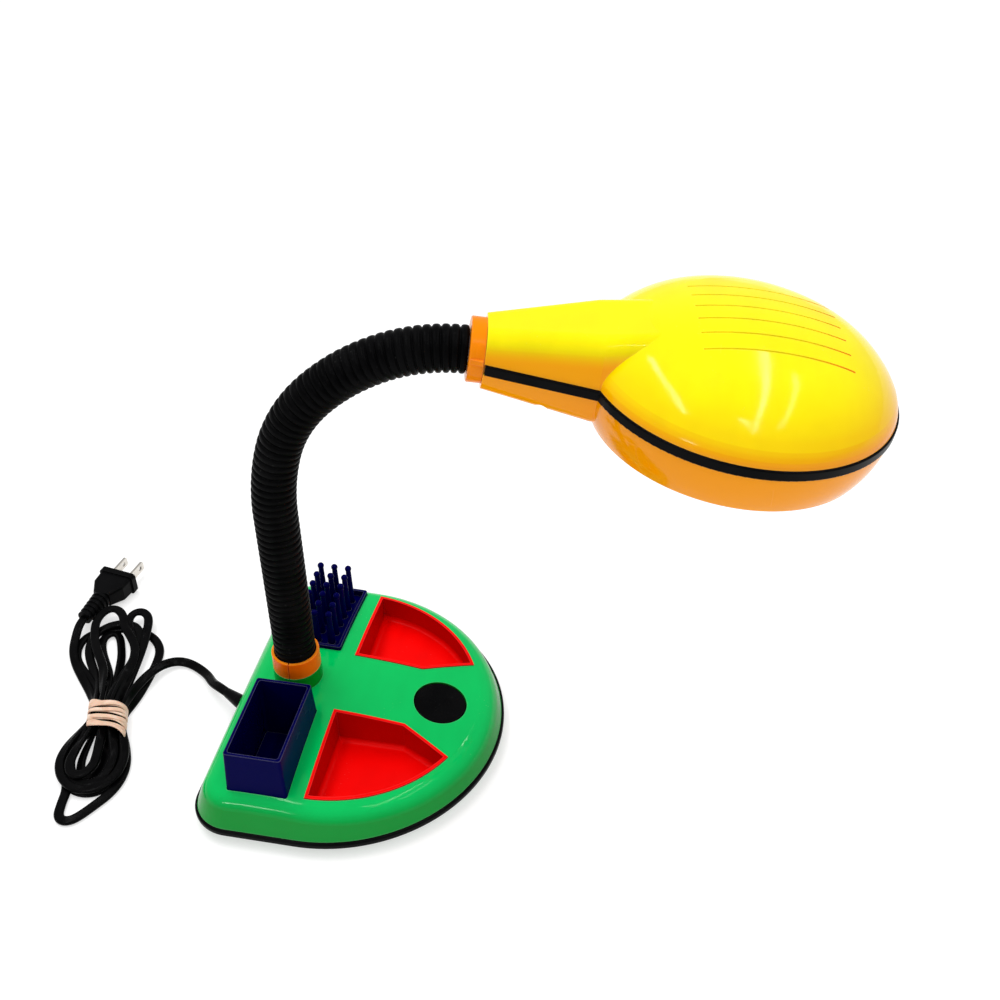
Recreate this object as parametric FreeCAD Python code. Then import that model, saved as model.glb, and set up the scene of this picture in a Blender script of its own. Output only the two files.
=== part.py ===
import FreeCAD, Part
import math
import os
from FreeCAD import Vector

# Gooseneck desk lamp with a desk-tidy base, in millimetres.
# Origin on the desk under the centre of the base's round front, +X to the front,
# +Y to the left of someone behind the lamp, +Z up.

# Base, seen from above a round front with a straight back
base_radius = 95.0
base_rear = 62.6
rear_corner = 23.0
crest_height = 37.0
crown_radius = 470.0
wall_draft = 20.0
edge_round = 14.0
shell_wall = 2.4
shell_inset = 1.5
draft_top = 42.0

# Trim band, lower pan, ballast and foam foot
band_bottom = 5.4
band_top = 10.2
band_depth = 4.0
band_round = 1.6
lip_wall = 2.4
lip_height = 3.8
pan_floor = 2.2
foot_thick = 2.0
foot_inset = 9.0
ballast_thick = 5.0
ballast_inset = 12.0
piece_gap = 0.15
case_gap = 0.3

# Screw posts under the crown
post_radius = 4.0
screw_radius = 1.5
screw_head = 3.2
screw_head_thick = 1.4
screw_length = 15.0
rear_post = (-49.0, 62.0)
middle_post = (22.0, 12.0)
front_post = (74.0, 20.0)

# Pen box and peg rack stand in mirrored openings
bin_center_x = -22.55
bin_center_y = 52.5
bin_length = 33.5
bin_width = 58.2
bin_level = 35.0
bin_draft = 0.0465
bin_corner = 1.5
bin_wall = 1.8
box_top = 56.5
box_floor = 2.2
rack_rise = 2.4
rack_recess = 4.4
rack_floor = 2.0
rack_skirt_bottom = 21.0
peg_columns = 3
peg_rows = 6
peg_pitch_x = 8.66
peg_pitch_y = 8.27
peg_top = 58.2
peg_ball = 2.0
peg_tip_radius = 1.55
peg_root_radius = 2.3

# Red trays either side of the middle strip
tray_rear = 3.4
tray_inner = 21.7
tray_knee = 44.1
tray_slant = 27.0
tray_arc = 80.3
tray_wall = 1.8
tray_rise = 0.6
tray_floor_level = 13.5
tray_floor = 2.0
tray_round = 3.0
tray_bottom_gap = 0.2

# Push button, square to the crown, with its switch below
button_x = 59.6
button_radius = 15.1
button_gap = 0.25
button_sink = 0.6
button_height = 7.4
button_wall = 1.7
button_dish = 140.0
button_edge = 1.0
button_travel = 3.0
button_lip = 0.9
guide_wall = 1.6
guide_depth = 5.5
stem_radius = 3.0
switch_length = 20.0
switch_width = 16.0
switch_height = 9.0
switch_ahead = 2.4
switch_level = 0.05

# Gooseneck: a ribbed sleeve over a steel conduit, cut into short links
neck_x = -24.0
neck_yaw = 11.6
hose_radius = 11.75
groove_radius = 10.45
hose_bore = 8.6
hose_start = 37.6
hose_straight = 118.6
hose_arc = 40.8
hose_bends = (16.5, 31.2, 23.6, 27.0)
link_count = 11
ribs_per_link = 6
link_gap = 3.1
crest_share = 0.56
flank_share = 0.10
core_radius = 7.4
core_bore = 5.2
core_gap = 2.4
core_tail = 13.0
nut_flats = 24.0
nut_thick = 5.0
washer_radius = 15.0
washer_thick = 1.5
boss_radius = 19.0
boss_bottom = 31.0
neck_cup_radius = 13.9
neck_cup_top = 46.6
neck_cup_floor = 37.2
thread_gap = 0.06
collar_radius = 13.65
collar_top_radius = 13.5
collar_height = 11.2
collar_bore_gap = 0.3
collar_seam = 0.5

# Lamp head, built along its own X axis from the neck's rear face
head_collar_length = 7.5
head_collar_radius = 15.8
collar_rib_proud = 1.3
collar_rib_tall = 2.6
collar_rib_level = 1.9
head_wall = 2.2
neck_length = 53.3
neck_reach = 100.0
neck_rear_half = 16.9
neck_front_half = 28.2
neck_rear_top = 16.7
neck_front_top = 25.3
neck_reach_top = 32.4
neck_rear_bottom = 15.5
neck_front_bottom = 21.0
neck_flank = 14.0
neck_corner = 9.0
dome_radius = 76.7
dome_center = 125.3
dome_top = 37.0
dome_bottom = 25.0
dome_bulge = 13.0
dome_bulge_inset = 1.6
rim_inset = 6.2
groove_count = 6
groove_pitch = 11.5
groove_start = 96.0
groove_end = 168.0
groove_width = 1.1
groove_depth = 0.7
trim_half = 2.65
trim_proud = 0.8
trim_depth = 2.2
trim_round = 0.8
joint_lip = 2.0
reflector_gap = 1.2
reflector_wall = 0.9
reflector_rim = 6.0
socket_radius = 17.5
socket_rear = 58.0
socket_front = 98.0
socket_height = 1.5
socket_wall = 2.6
cap_radius = 13.2
cap_length = 26.0
bulb_radius = 24.0
bulb_reach = 156.0
glass_wall = 0.8
bracket_thick = 1.6
bracket_plate = 26.0
bracket_leg = 12.0
bracket_foot = 14.0
bracket_hole = 4.0
bracket_lap = 8.0
head_post = (30.0, 15.5)
head_post_radius = 4.6
head_screw_seat = 6.8

# Mains lead, its bushing and plug
cord_radius = 2.0
bushing_wall_point = (-59.8, -7.4, 14.6)
bushing_way = (-0.84, 0.53, -0.12)
bushing_inside = 12.0
bushing_outside = 13.0
bushing_root = 4.2
bushing_tip = 2.9
bushing_flange = 5.4
lead_start = 9.0
lead_points = (
    (-84.7, 10.1, 7.8),
    (-93.4, 22.3, 2.1),
    (-106.3, 28.9, 2.1),
    (-121.4, 27.1, 2.1),
    (-132.2, 17.2, 2.8),
)
lead_end = 14.3
tail_start = 15.0
tail_points = (
    (-21.0, 35.0, 5.4),
    (-29.0, 51.0, 2.4),
)
tail_end = 14.0

# Leads inside the base
switch_lead_side = 4.2
inner_lead_straight = 22.0
inner_lead_route = ((-26.0, -17.5, 13.5), (-4.0, -12.0, 12.4), (18.0, -5.0, 12.4), (32.0, -4.2, 13.0))
neck_lead_route = ((34.0, 4.2, 13.6), (20.0, 3.0, 12.6), (4.0, 0.0, 12.6))
neck_lead_top = 41.0

# Hank: loops in two layers, drawn in at the waist
hank_waist = (-140.0, -18.0)
hank_lean = 19.32
hank_loops = 4.5
hank_step = 4.65
hank_layer = 4.7
hank_lift = 2.6
hank_ease = 1.0
upper_tip = (4.5, 89.9)
lower_tip = (-5.0, 72.0)
upper_lobe = 26.9
lower_lobe = 22.0
lobe_step = 5.2
tie_wire = 0.8
tie_turns = 9
tie_pitch = 2.9
tie_gap = 0.7
tie_slack = 1.4

# Plug with two flat blades
plug_front = (-179.0, 90.0, 7.5)
plug_turn = 10.0
plug_width = 25.0
plug_thick = 14.4
flange_length = 4.0
plug_body_width = 22.8
plug_body_length = 17.0
plug_neck_width = 12.0
plug_neck_thick = 10.6
relief_length = 20.0
relief_ribs = 6
relief_root = 5.4
relief_tip = 3.9
relief_rib = 0.8
blade_spacing = 12.7
blade_width = 6.35
blade_thick = 1.5
blade_length = 16.5
blade_hole = 1.6
blade_root = 8.0

os.makedirs("parts", exist_ok=True)

origin = Vector(0, 0, 0)
up = Vector(0, 0, 1)


def write(shape, name):
    shape.exportStep("parts/" + name + ".step")
    print(name, "solids", len(shape.Solids), "volume", round(shape.Volume, 1), shape.isValid())


def arc(a, b, c):
    return Part.Arc(Vector(*a), Vector(*b), Vector(*c)).toShape()


def line(a, b):
    return Part.LineSegment(Vector(*a), Vector(*b)).toShape()


def prism(wire, height):
    return Part.Face(wire).extrude(Vector(0, 0, height))


def ring(outer, inner, height):
    return prism(outer, height).cut(prism(inner, height))


def cylinder(radius, height, base=origin, way=up):
    return Part.makeCylinder(radius, height, base, way)


def tan(degrees):
    return math.tan(math.radians(degrees))


def sin(degrees):
    return math.sin(math.radians(degrees))


def cos(degrees):
    return math.cos(math.radians(degrees))


def group(shapes):
    return Part.makeCompound(shapes)


# The crown is part of a large ball whose top lies on the gooseneck's axis
crown_center = Vector(neck_x, 0, crest_height - crown_radius)


def crown(rise=0.0):
    return Part.makeSphere(crown_radius + rise, crown_center)


def crown_level(x, y):
    away = (x - neck_x) ** 2 + y ** 2
    return crown_center.z + math.sqrt(crown_radius ** 2 - away)


def base_outline(inset, z):
    """Outline of the base at a height, moved in by an inset."""
    radius = base_radius - inset
    rear = -(base_rear - inset)
    corner_x = -(base_rear - rear_corner)
    corner_y = base_radius - rear_corner
    corner = rear_corner - inset
    diagonal = corner * math.sqrt(0.5)
    edges = [
        arc((0, -radius, z), (radius * cos(45), -radius * sin(45), z), (radius, 0, z)),
        arc((radius, 0, z), (radius * cos(45), radius * sin(45), z), (0, radius, z)),
        line((0, radius, z), (corner_x, radius, z)),
        arc((corner_x, radius, z), (corner_x - diagonal, corner_y + diagonal, z), (rear, corner_y, z)),
        line((rear, corner_y, z), (rear, -corner_y, z)),
        arc((rear, -corner_y, z), (corner_x - diagonal, -corner_y - diagonal, z), (corner_x, -radius, z)),
        line((corner_x, -radius, z), (0, -radius, z)),
    ]
    return Part.Wire(edges)


def base_form(inset, bottom):
    """Crowned, drafted and rounded body of the base, moved in by an inset."""
    side = inset / cos(wall_draft)
    low = shell_inset + side + tan(wall_draft) * (bottom - band_top)
    high = shell_inset + side + tan(wall_draft) * (draft_top - band_top)
    block = Part.makeLoft([base_outline(low, bottom), base_outline(high, draft_top)], True, True)
    body = block.common(crown(-inset))
    rim = [e for e in body.Edges if e.BoundBox.ZMin > bottom + 1.0 and not is_upright(e)]
    return body.makeFillet(edge_round - inset, rim)


def is_upright(edge):
    ends = [v.Point for v in edge.Vertexes]
    return len(ends) == 2 and abs(ends[0].z - ends[1].z) > 5.0


def bin_form(grow, bottom, top, center_y):
    """Tapered block that the pen box and the peg rack share."""
    wires = []
    for z in (bottom, top):
        spread = bin_draft * (bin_level - z) + grow
        half_x = bin_length / 2 + spread
        half_y = bin_width / 2 + spread
        r = bin_corner
        x0, x1 = bin_center_x - half_x, bin_center_x + half_x
        y0, y1 = center_y - half_y, center_y + half_y
        d = r * (1 - math.sqrt(0.5))
        wires.append(Part.Wire([
            line((x0 + r, y0, z), (x1 - r, y0, z)),
            arc((x1 - r, y0, z), (x1 - d, y0 + d, z), (x1, y0 + r, z)),
            line((x1, y0 + r, z), (x1, y1 - r, z)),
            arc((x1, y1 - r, z), (x1 - d, y1 - d, z), (x1 - r, y1, z)),
            line((x1 - r, y1, z), (x0 + r, y1, z)),
            arc((x0 + r, y1, z), (x0 + d, y1 - d, z), (x0, y1 - r, z)),
            line((x0, y1 - r, z), (x0, y0 + r, z)),
            arc((x0, y0 + r, z), (x0 + d, y0 + d, z), (x0 + r, y0, z)),
        ]))
    return Part.makeLoft(wires, True, True)


def tray_outline(inset, z):
    """Outline of the far tray: three straight sides, a slant and a round outer side."""
    rear = tray_rear + inset
    inner = tray_inner + inset
    radius = tray_arc - inset
    knee = tray_knee - inset * tan(tray_slant / 2)
    # the slant leaves the knee and meets the round side
    along_x, along_y = cos(tray_slant), sin(tray_slant)
    dot = knee * along_x + inner * along_y
    reach = -dot + math.sqrt(dot ** 2 - (knee ** 2 + inner ** 2 - radius ** 2))
    end_x, end_y = knee + reach * along_x, inner + reach * along_y
    top_y = math.sqrt(radius ** 2 - rear ** 2)
    middle = (math.atan2(end_y, end_x) + math.atan2(top_y, rear)) / 2
    bow = (radius * math.cos(middle), radius * math.sin(middle), z)
    return Part.Wire([
        line((rear, inner, z), (knee, inner, z)),
        line((knee, inner, z), (end_x, end_y, z)),
        arc((end_x, end_y, z), bow, (rear, top_y, z)),
        line((rear, top_y, z), (rear, inner, z)),
    ])


def post_places():
    places = []
    for x, y in (rear_post, middle_post, front_post):
        places.append((x, y))
        places.append((x, -y))
    return places


switch_rear = button_x - switch_ahead - switch_length / 2
pan_bottom = foot_thick
pan_top = pan_bottom + pan_floor
ballast_top = pan_top + ballast_thick
bin_bottom = ballast_top + tray_bottom_gap
band_middle = (band_bottom + band_top) / 2

# The button leans back with the crown, so it is made upright and then leaned
button_lean = math.degrees(math.asin((button_x - neck_x) / crown_radius))
button_seat = Vector(button_x, 0, crown_level(button_x, 0))
button_place = FreeCAD.Placement(button_seat, FreeCAD.Rotation(Vector(0, 1, 0), button_lean))


def on_button(shape):
    placed = shape.copy()
    placed.Placement = button_place.multiply(placed.Placement)
    return placed


def make_base_shell():
    outer = base_form(0.0, band_top)
    inner = base_form(shell_wall, band_top - 1.0)
    shell = outer.cut(inner)
    lip_inset = band_depth + piece_gap
    lip = ring(base_outline(lip_inset, band_middle), base_outline(lip_inset + lip_wall, band_middle),
               band_top - band_middle + lip_height)
    upper_part = lip.common(outer)
    lower_part = ring(base_outline(lip_inset, band_middle), base_outline(lip_inset + lip_wall, band_middle),
                      band_top - band_middle)
    shell = shell.fuse(upper_part).fuse(lower_part)
    skin = base_form(0.6, pan_top)
    for x, y in post_places():
        post = cylinder(post_radius, crest_height, Vector(x, y, pan_top + 0.1))
        shell = shell.fuse(post.common(skin))
    boss = cylinder(boss_radius, crest_height - boss_bottom - 1.2, Vector(neck_x, 0, boss_bottom))
    guide = cylinder(button_radius + button_gap + guide_wall, guide_depth, Vector(0, 0, -guide_depth - 0.8))
    cup = cylinder(neck_cup_radius, neck_cup_top - boss_bottom - 5.0, Vector(neck_x, 0, boss_bottom + 5.0))
    shell = shell.fuse([boss, cup, on_button(guide)])
    bore = cylinder(button_radius + button_gap, 30.0, Vector(0, 0, -15.0))
    cuts = [on_button(bore), cylinder(core_radius + case_gap, 30.0, Vector(neck_x, 0, 20.0))]
    cuts.append(cylinder(hose_radius + collar_bore_gap, 20.0, Vector(neck_x, 0, neck_cup_floor)))
    for side in (-1, 1):
        cuts.append(bin_form(piece_gap, bin_bottom - 1.0, box_top + 5.0, side * bin_center_y))
    tray_hole = prism(tray_outline(-piece_gap, bin_bottom - 1.0), 60.0)
    cuts.append(tray_hole)
    cuts.append(tray_hole.mirror(origin, Vector(0, 1, 0)))
    for x, y in post_places():
        cuts.append(cylinder(screw_radius - 0.1, screw_length, Vector(x, y, pan_top)))
    cuts.append(bushing_core(piece_gap))
    return shell.cut(cuts).removeSplitter()


def make_band():
    high = band_top - band_bottom - 2 * piece_gap
    low = band_bottom + piece_gap
    body = prism(base_outline(0.0, low), high)
    edges = [e for e in body.Edges if not is_upright(e) and e.BoundBox.ZLength < 0.01]
    body = body.makeFillet(band_round, edges)
    return body.cut(prism(base_outline(band_depth, low - 1.0), high + 2.0))


def make_pan():
    side = Part.makeLoft([base_outline(shell_inset + 2.4, pan_bottom), base_outline(shell_inset + 0.3, band_bottom)],
                         True, True)
    lip = prism(base_outline(band_depth + piece_gap, band_bottom - 0.5), band_middle - band_bottom + 0.4)
    room = prism(base_outline(band_depth + piece_gap + lip_wall, pan_top), 10.0)
    pan = side.fuse(lip).cut(room)
    for x, y in post_places():
        pan = pan.cut(cylinder(screw_radius + case_gap, 10.0, Vector(x, y, 0)))
        pan = pan.cut(cylinder(screw_head + case_gap, screw_head_thick + 0.1, Vector(x, y, pan_bottom)))
    return pan.removeSplitter()


def make_ballast():
    plate = prism(base_outline(ballast_inset, pan_top), ballast_thick)
    for x, y in post_places():
        plate = plate.cut(cylinder(post_radius + 1.0, 10.0, Vector(x, y, pan_top - 1.0)))
    return plate


def make_screws():
    screws = []
    for x, y in post_places():
        head = cylinder(screw_head, screw_head_thick, Vector(x, y, pan_bottom + 0.05))
        shank = cylinder(screw_radius - 0.15, screw_length - 1.0, Vector(x, y, pan_bottom + 0.05))
        screws.append(head.fuse(shank))
    return group(screws)


def make_pen_box():
    box = bin_form(0.0, bin_bottom, box_top, -bin_center_y)
    room = bin_form(-bin_wall, bin_bottom + box_floor, box_top + 1.0, -bin_center_y)
    return box.cut(room)


def make_peg_rack():
    block = bin_form(0.0, rack_skirt_bottom, box_top, bin_center_y).common(crown(rack_rise))
    inner = bin_form(-bin_wall, rack_skirt_bottom - 1.0, box_top, bin_center_y)
    recess = inner.cut(crown(rack_rise - rack_recess))
    under = inner.common(crown(rack_rise - rack_recess - rack_floor))
    rack = block.cut(recess).cut(under)
    pegs = []
    for column in range(peg_columns):
        for row in range(peg_rows):
            x = bin_center_x + (column - (peg_columns - 1) / 2) * peg_pitch_x
            y = bin_center_y + (row - (peg_rows - 1) / 2) * peg_pitch_y
            root = crown_level(x, y) + rack_rise - rack_recess - rack_floor / 2
            ball_z = peg_top - peg_ball
            stem = Part.makeCone(peg_root_radius, peg_tip_radius, ball_z - root, Vector(x, y, root))
            pegs.append(stem.fuse(Part.makeSphere(peg_ball, Vector(x, y, ball_z))))
    return rack.fuse(pegs).removeSplitter()


def make_tray():
    height = crest_height + 10.0 - bin_bottom
    body = prism(tray_outline(0.0, bin_bottom), height).common(crown(tray_rise))
    room = prism(tray_outline(tray_wall, tray_floor_level), height)
    floor_edges = [e for e in room.Edges if e.BoundBox.ZMax < tray_floor_level + 0.01]
    room = room.makeFillet(tray_round, floor_edges)
    under = prism(tray_outline(tray_wall, bin_bottom - 1.0), tray_floor_level - tray_floor - bin_bottom + 1.0)
    return body.cut(room).cut(under)


def make_button():
    top = -button_sink
    disc = cylinder(button_radius, button_height, Vector(0, 0, top - button_height))
    rim = [e for e in disc.Edges if e.BoundBox.ZMin > top - 0.01]
    disc = disc.makeFillet(button_edge, rim)
    dish = Part.makeSphere(button_dish, Vector(0, 0, top + button_dish - 0.7))
    room = cylinder(button_radius - button_wall, button_height, Vector(0, 0, top - 2.4 - button_height))
    stem = cylinder(stem_radius, button_height + 1.8, Vector(0, 0, top - 2.0 - button_height - 1.8))
    lip_z = -guide_depth - 0.8 - 0.2 - 1.0
    lip = cylinder(button_radius + button_lip, 1.0, Vector(0, 0, lip_z))
    lip = lip.cut(cylinder(button_radius - button_wall, 3.0, Vector(0, 0, lip_z - 1.0)))
    cap = disc.cut(dish).cut(room).fuse([stem, lip])
    return on_button(cap.removeSplitter())


def make_switch():
    body = Part.makeBox(switch_length, switch_width, switch_height,
                        Vector(switch_rear, -switch_width / 2, ballast_top + switch_level))
    upright = [e for e in body.Edges if is_upright(e)]
    body = body.makeFillet(1.0, upright)
    hole_top = -button_sink - 2.0 - button_height - 1.8
    hole = cylinder(stem_radius + case_gap, 30.0, Vector(0, 0, hole_top - button_travel - 0.5))
    return body.cut(on_button(hole))


# The gooseneck's centre line lies in one upright plane through its foot
def neck_station(distance):
    """Point and lean of the hose's centre line at a distance from its foot."""
    if distance <= hose_straight:
        return Vector(neck_x, 0, hose_start + distance), 0.0
    x, z, lean = neck_x, hose_start + hose_straight, 0.0
    left = distance - hose_straight
    for bend in hose_bends:
        rate = math.radians(bend) / hose_arc
        step = min(left, hose_arc)
        x += (math.cos(lean) - math.cos(lean + rate * step)) / rate
        z += (math.sin(lean + rate * step) - math.sin(lean)) / rate
        lean += rate * step
        left -= step
        if left <= 0:
            break
    if left > 0:
        x += left * math.sin(lean)
        z += left * math.cos(lean)
    return Vector(x, 0, z), lean


hose_length = hose_straight + hose_arc * len(hose_bends)
link_length = hose_length / link_count
neck_plane = FreeCAD.Placement(origin, FreeCAD.Rotation(up, neck_yaw), Vector(neck_x, 0, 0))


def turned(shape):
    placed = shape.copy()
    placed.Placement = neck_plane.multiply(placed.Placement)
    return placed


def hose_circle(distance, radius):
    point, lean = neck_station(distance)
    along = Vector(math.sin(lean), 0, math.cos(lean))
    side = Vector(0, 1, 0)
    turn = FreeCAD.Rotation(side, along.cross(side), along, "ZXY")
    circle = Part.makeCircle(radius)
    circle.Placement = FreeCAD.Placement(point, turn)
    return Part.Wire([circle])


def hose_loft(stations):
    return Part.makeLoft([hose_circle(s, r) for s, r in stations], True, True)


def make_sleeve(index):
    """Ribbed sleeve of one link, ended in a groove at each moving joint."""
    start = index * link_length
    stop = start + link_length
    if index > 0:
        start += link_gap / 2
    if index < link_count - 1:
        stop -= link_gap / 2
    pitch = (stop - start) / ribs_per_link
    crest = crest_share * pitch
    flank = flank_share * pitch
    stations = []
    for rib in range(ribs_per_link):
        middle = start + (rib + 0.5) * pitch
        if rib == 0:
            stations.append((start, groove_radius))
        stations.append((middle - crest / 2 - flank, groove_radius))
        stations.append((middle - crest / 2, hose_radius))
        stations.append((middle + crest / 2, hose_radius))
        stations.append((middle + crest / 2 + flank, groove_radius))
        if rib == ribs_per_link - 1:
            stations.append((stop, groove_radius))
    bore_steps = 6
    bore = [(start - 0.5 + (stop - start + 1.0) * i / bore_steps, hose_bore) for i in range(bore_steps + 1)]
    return turned(hose_loft(stations).cut(hose_loft(bore)))


def make_core(index):
    """Steel conduit of one link, threaded through at the foot and at the head."""
    start = index * link_length + core_gap / 2
    stop = (index + 1) * link_length - core_gap / 2
    if index == 0:
        start = -core_tail
    if index == link_count - 1:
        stop = hose_length + head_collar_length + core_tail - 2.0
    steps = 6
    outer = [(start + (stop - start) * i / steps, core_radius) for i in range(steps + 1)]
    inner = [(start - 0.5 + (stop - start + 1.0) * i / steps, core_bore) for i in range(steps + 1)]
    return turned(hose_loft(outer).cut(hose_loft(inner)))


def hexagon(flats, height, base, way):
    points = []
    for i in range(7):
        points.append(Vector(flats / math.sqrt(3) * cos(60 * i), flats / math.sqrt(3) * sin(60 * i), 0))
    nut = Part.Face(Part.makePolygon(points)).extrude(Vector(0, 0, height))
    nut = nut.cut(cylinder(core_radius + thread_gap, height))
    nut.Placement = FreeCAD.Placement(base, FreeCAD.Rotation(up, way))
    return nut


def make_neck_washer():
    bottom = Vector(neck_x, 0, boss_bottom - washer_thick - 0.02)
    disc = cylinder(washer_radius, washer_thick, bottom)
    return disc.cut(cylinder(core_radius + case_gap, washer_thick, bottom))


def make_neck_nut():
    return hexagon(nut_flats, nut_thick, Vector(neck_x, 0, boss_bottom - washer_thick - nut_thick - 0.04), up)


def make_base_collar(side):
    """Half of the collar that clamps the hose, on one side of the seam."""
    foot = Vector(neck_x, 0, neck_cup_top + 0.05)
    body = Part.makeCone(collar_radius, collar_top_radius, collar_height, foot)
    top = [e for e in body.Edges if e.BoundBox.ZMin > foot.z + collar_height - 0.01]
    body = body.makeFillet(0.8, top)
    body = body.cut(cylinder(hose_radius + collar_bore_gap, collar_height + 2.0, foot))
    reach = 2 * collar_radius
    half = Part.makeBox(reach, 2 * reach, reach, Vector(neck_x + collar_seam / 2, -reach, foot.z - 1.0))
    if side < 0:
        half = half.mirror(Vector(neck_x, 0, 0), Vector(1, 0, 0))
    return body.common(half)


# The head's own frame starts at the neck's rear face and points along the hose's end
hose_end, hose_end_lean = neck_station(hose_length)
head_way = Vector(math.sin(hose_end_lean), 0, math.cos(hose_end_lean))
head_up = Vector(-math.cos(hose_end_lean), 0, math.sin(hose_end_lean))
head_turn = FreeCAD.Rotation(head_way, Vector(0, 1, 0), head_up, "XZY")
head_frame = FreeCAD.Placement(hose_end + head_way * head_collar_length, head_turn)
head_place = neck_plane.multiply(head_frame)


def on_head(shape):
    placed = shape.copy()
    placed.Placement = head_place.multiply(placed.Placement)
    return placed


def neck_section(x, half, height, inset, side):
    """Half section of the head's neck, on one side of the parting plane."""
    w = half - inset
    h = height - inset
    r = neck_corner - inset
    lean = neck_flank
    center_y = w - (h - r) * tan(lean) - r / cos(lean)
    foot_y, foot_z = center_y + r * cos(lean), h - r + r * sin(lean)
    middle = (90.0 + lean) / 2
    mid_y, mid_z = center_y + r * cos(middle), h - r + r * sin(middle)
    s = side
    return Part.Wire([
        line((x, -w, 0), (x, w, 0)),
        line((x, w, 0), (x, foot_y, s * foot_z)),
        arc((x, foot_y, s * foot_z), (x, mid_y, s * mid_z), (x, center_y, s * h)),
        line((x, center_y, s * h), (x, -center_y, s * h)),
        arc((x, -center_y, s * h), (x, -mid_y, s * mid_z), (x, -foot_y, s * foot_z)),
        line((x, -foot_y, s * foot_z), (x, -w, 0)),
    ])


def neck_form(inset, side):
    rear, front = neck_rear_top, neck_front_top
    reach = neck_reach_top
    if side < 0:
        rear, front = neck_rear_bottom, neck_front_bottom
        reach = neck_front_bottom
    sections = [
        neck_section(inset, neck_rear_half, rear, inset, side),
        neck_section(neck_length, neck_front_half, front, inset, side),
        neck_section(neck_reach, neck_front_half, reach, inset, side),
    ]
    return Part.makeLoft(sections, True, True)


# The head's crown is an oval of three arcs, from its apex over the shoulder to the rim
crown_bow = dome_radius ** 2 / dome_top
rim_bow = dome_top ** 2 / dome_radius
shoulder_bow = math.sqrt(dome_radius * dome_top)


def shoulder_center():
    """Center of the shoulder's arc, from the centers of its two neighbours."""
    low = Vector(0, 0, dome_top - crown_bow)
    out = Vector(dome_radius - rim_bow, 0, 0)
    way = out - low
    apart = way.Length
    way.normalize()
    from_low = crown_bow - shoulder_bow
    from_out = shoulder_bow - rim_bow
    along = (from_low ** 2 - from_out ** 2 + apart ** 2) / (2 * apart)
    aside = math.sqrt(from_low ** 2 - along ** 2)
    return low, low + way * along + Vector(-way.z, 0, way.x) * aside, out


def dome_arcs(inset):
    """Tangent arcs from the rim up to the apex, moved in by an inset."""
    low, middle, out = shoulder_center()
    up_way = (middle - low).normalize()
    out_way = (out - middle).normalize()
    shift = Vector(dome_center, 0, 0)
    rim = Vector(dome_radius - inset, 0, 0)
    first = middle + out_way * (shoulder_bow - inset)
    second = low + up_way * (crown_bow - inset)
    apex = Vector(0, 0, dome_top - inset)
    edges = []
    for a, b, center, bow in ((rim, first, out, rim_bow), (first, second, middle, shoulder_bow),
                              (second, apex, low, crown_bow)):
        way = ((a - center) + (b - center)).normalize()
        edges.append(Part.Arc(a + shift, center + way * (bow - inset) + shift, b + shift).toShape())
    return edges


def dome_form(inset, side, room=0.0):
    """Round part of the head, as a turned solid on one side of the parting plane."""
    radius = dome_radius - inset
    x = dome_center
    if side > 0:
        height = dome_top - inset
        profile = dome_arcs(inset) + [line((x, 0, height), (x, 0, 0)), line((x, 0, 0), (x + radius, 0, 0))]
    else:
        depth = dome_bottom + room
        rim = dome_radius - rim_inset - inset
        bulge = radius - dome_bulge_inset
        if room > 0:
            profile = [arc((x + radius, 0, 0), (x + bulge, 0, -dome_bulge), (x + rim, 0, -dome_bottom)),
                       line((x + rim, 0, -dome_bottom), (x + rim, 0, -depth)),
                       line((x + rim, 0, -depth), (x, 0, -depth))]
        else:
            profile = [arc((x + radius, 0, 0), (x + bulge, 0, -dome_bulge), (x + rim, 0, -depth)),
                       line((x + rim, 0, -depth), (x, 0, -depth))]
        profile += [line((x, 0, -depth), (x, 0, 0)), line((x, 0, 0), (x + radius, 0, 0))]
    face = Part.Face(Part.Wire(Part.sortEdges(profile)[0]))
    return face.revolve(Vector(x, 0, 0), up, 360)


def plan_prism(inset, bottom, height, rear=0.0):
    """Upright prism of the head's plan: the neck's wedge and the round dome."""
    back = neck_rear_half - inset
    front = neck_front_half - inset
    wedge = Part.makePolygon([
        Vector(rear, -back, bottom), Vector(neck_length, -front, bottom), Vector(dome_center, -front, bottom),
        Vector(dome_center, front, bottom), Vector(neck_length, front, bottom), Vector(rear, back, bottom),
        Vector(rear, -back, bottom)])
    round_part = cylinder(dome_radius - inset, height, Vector(dome_center, 0, bottom))
    return prism(wedge, height).fuse(round_part).removeSplitter()


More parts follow.
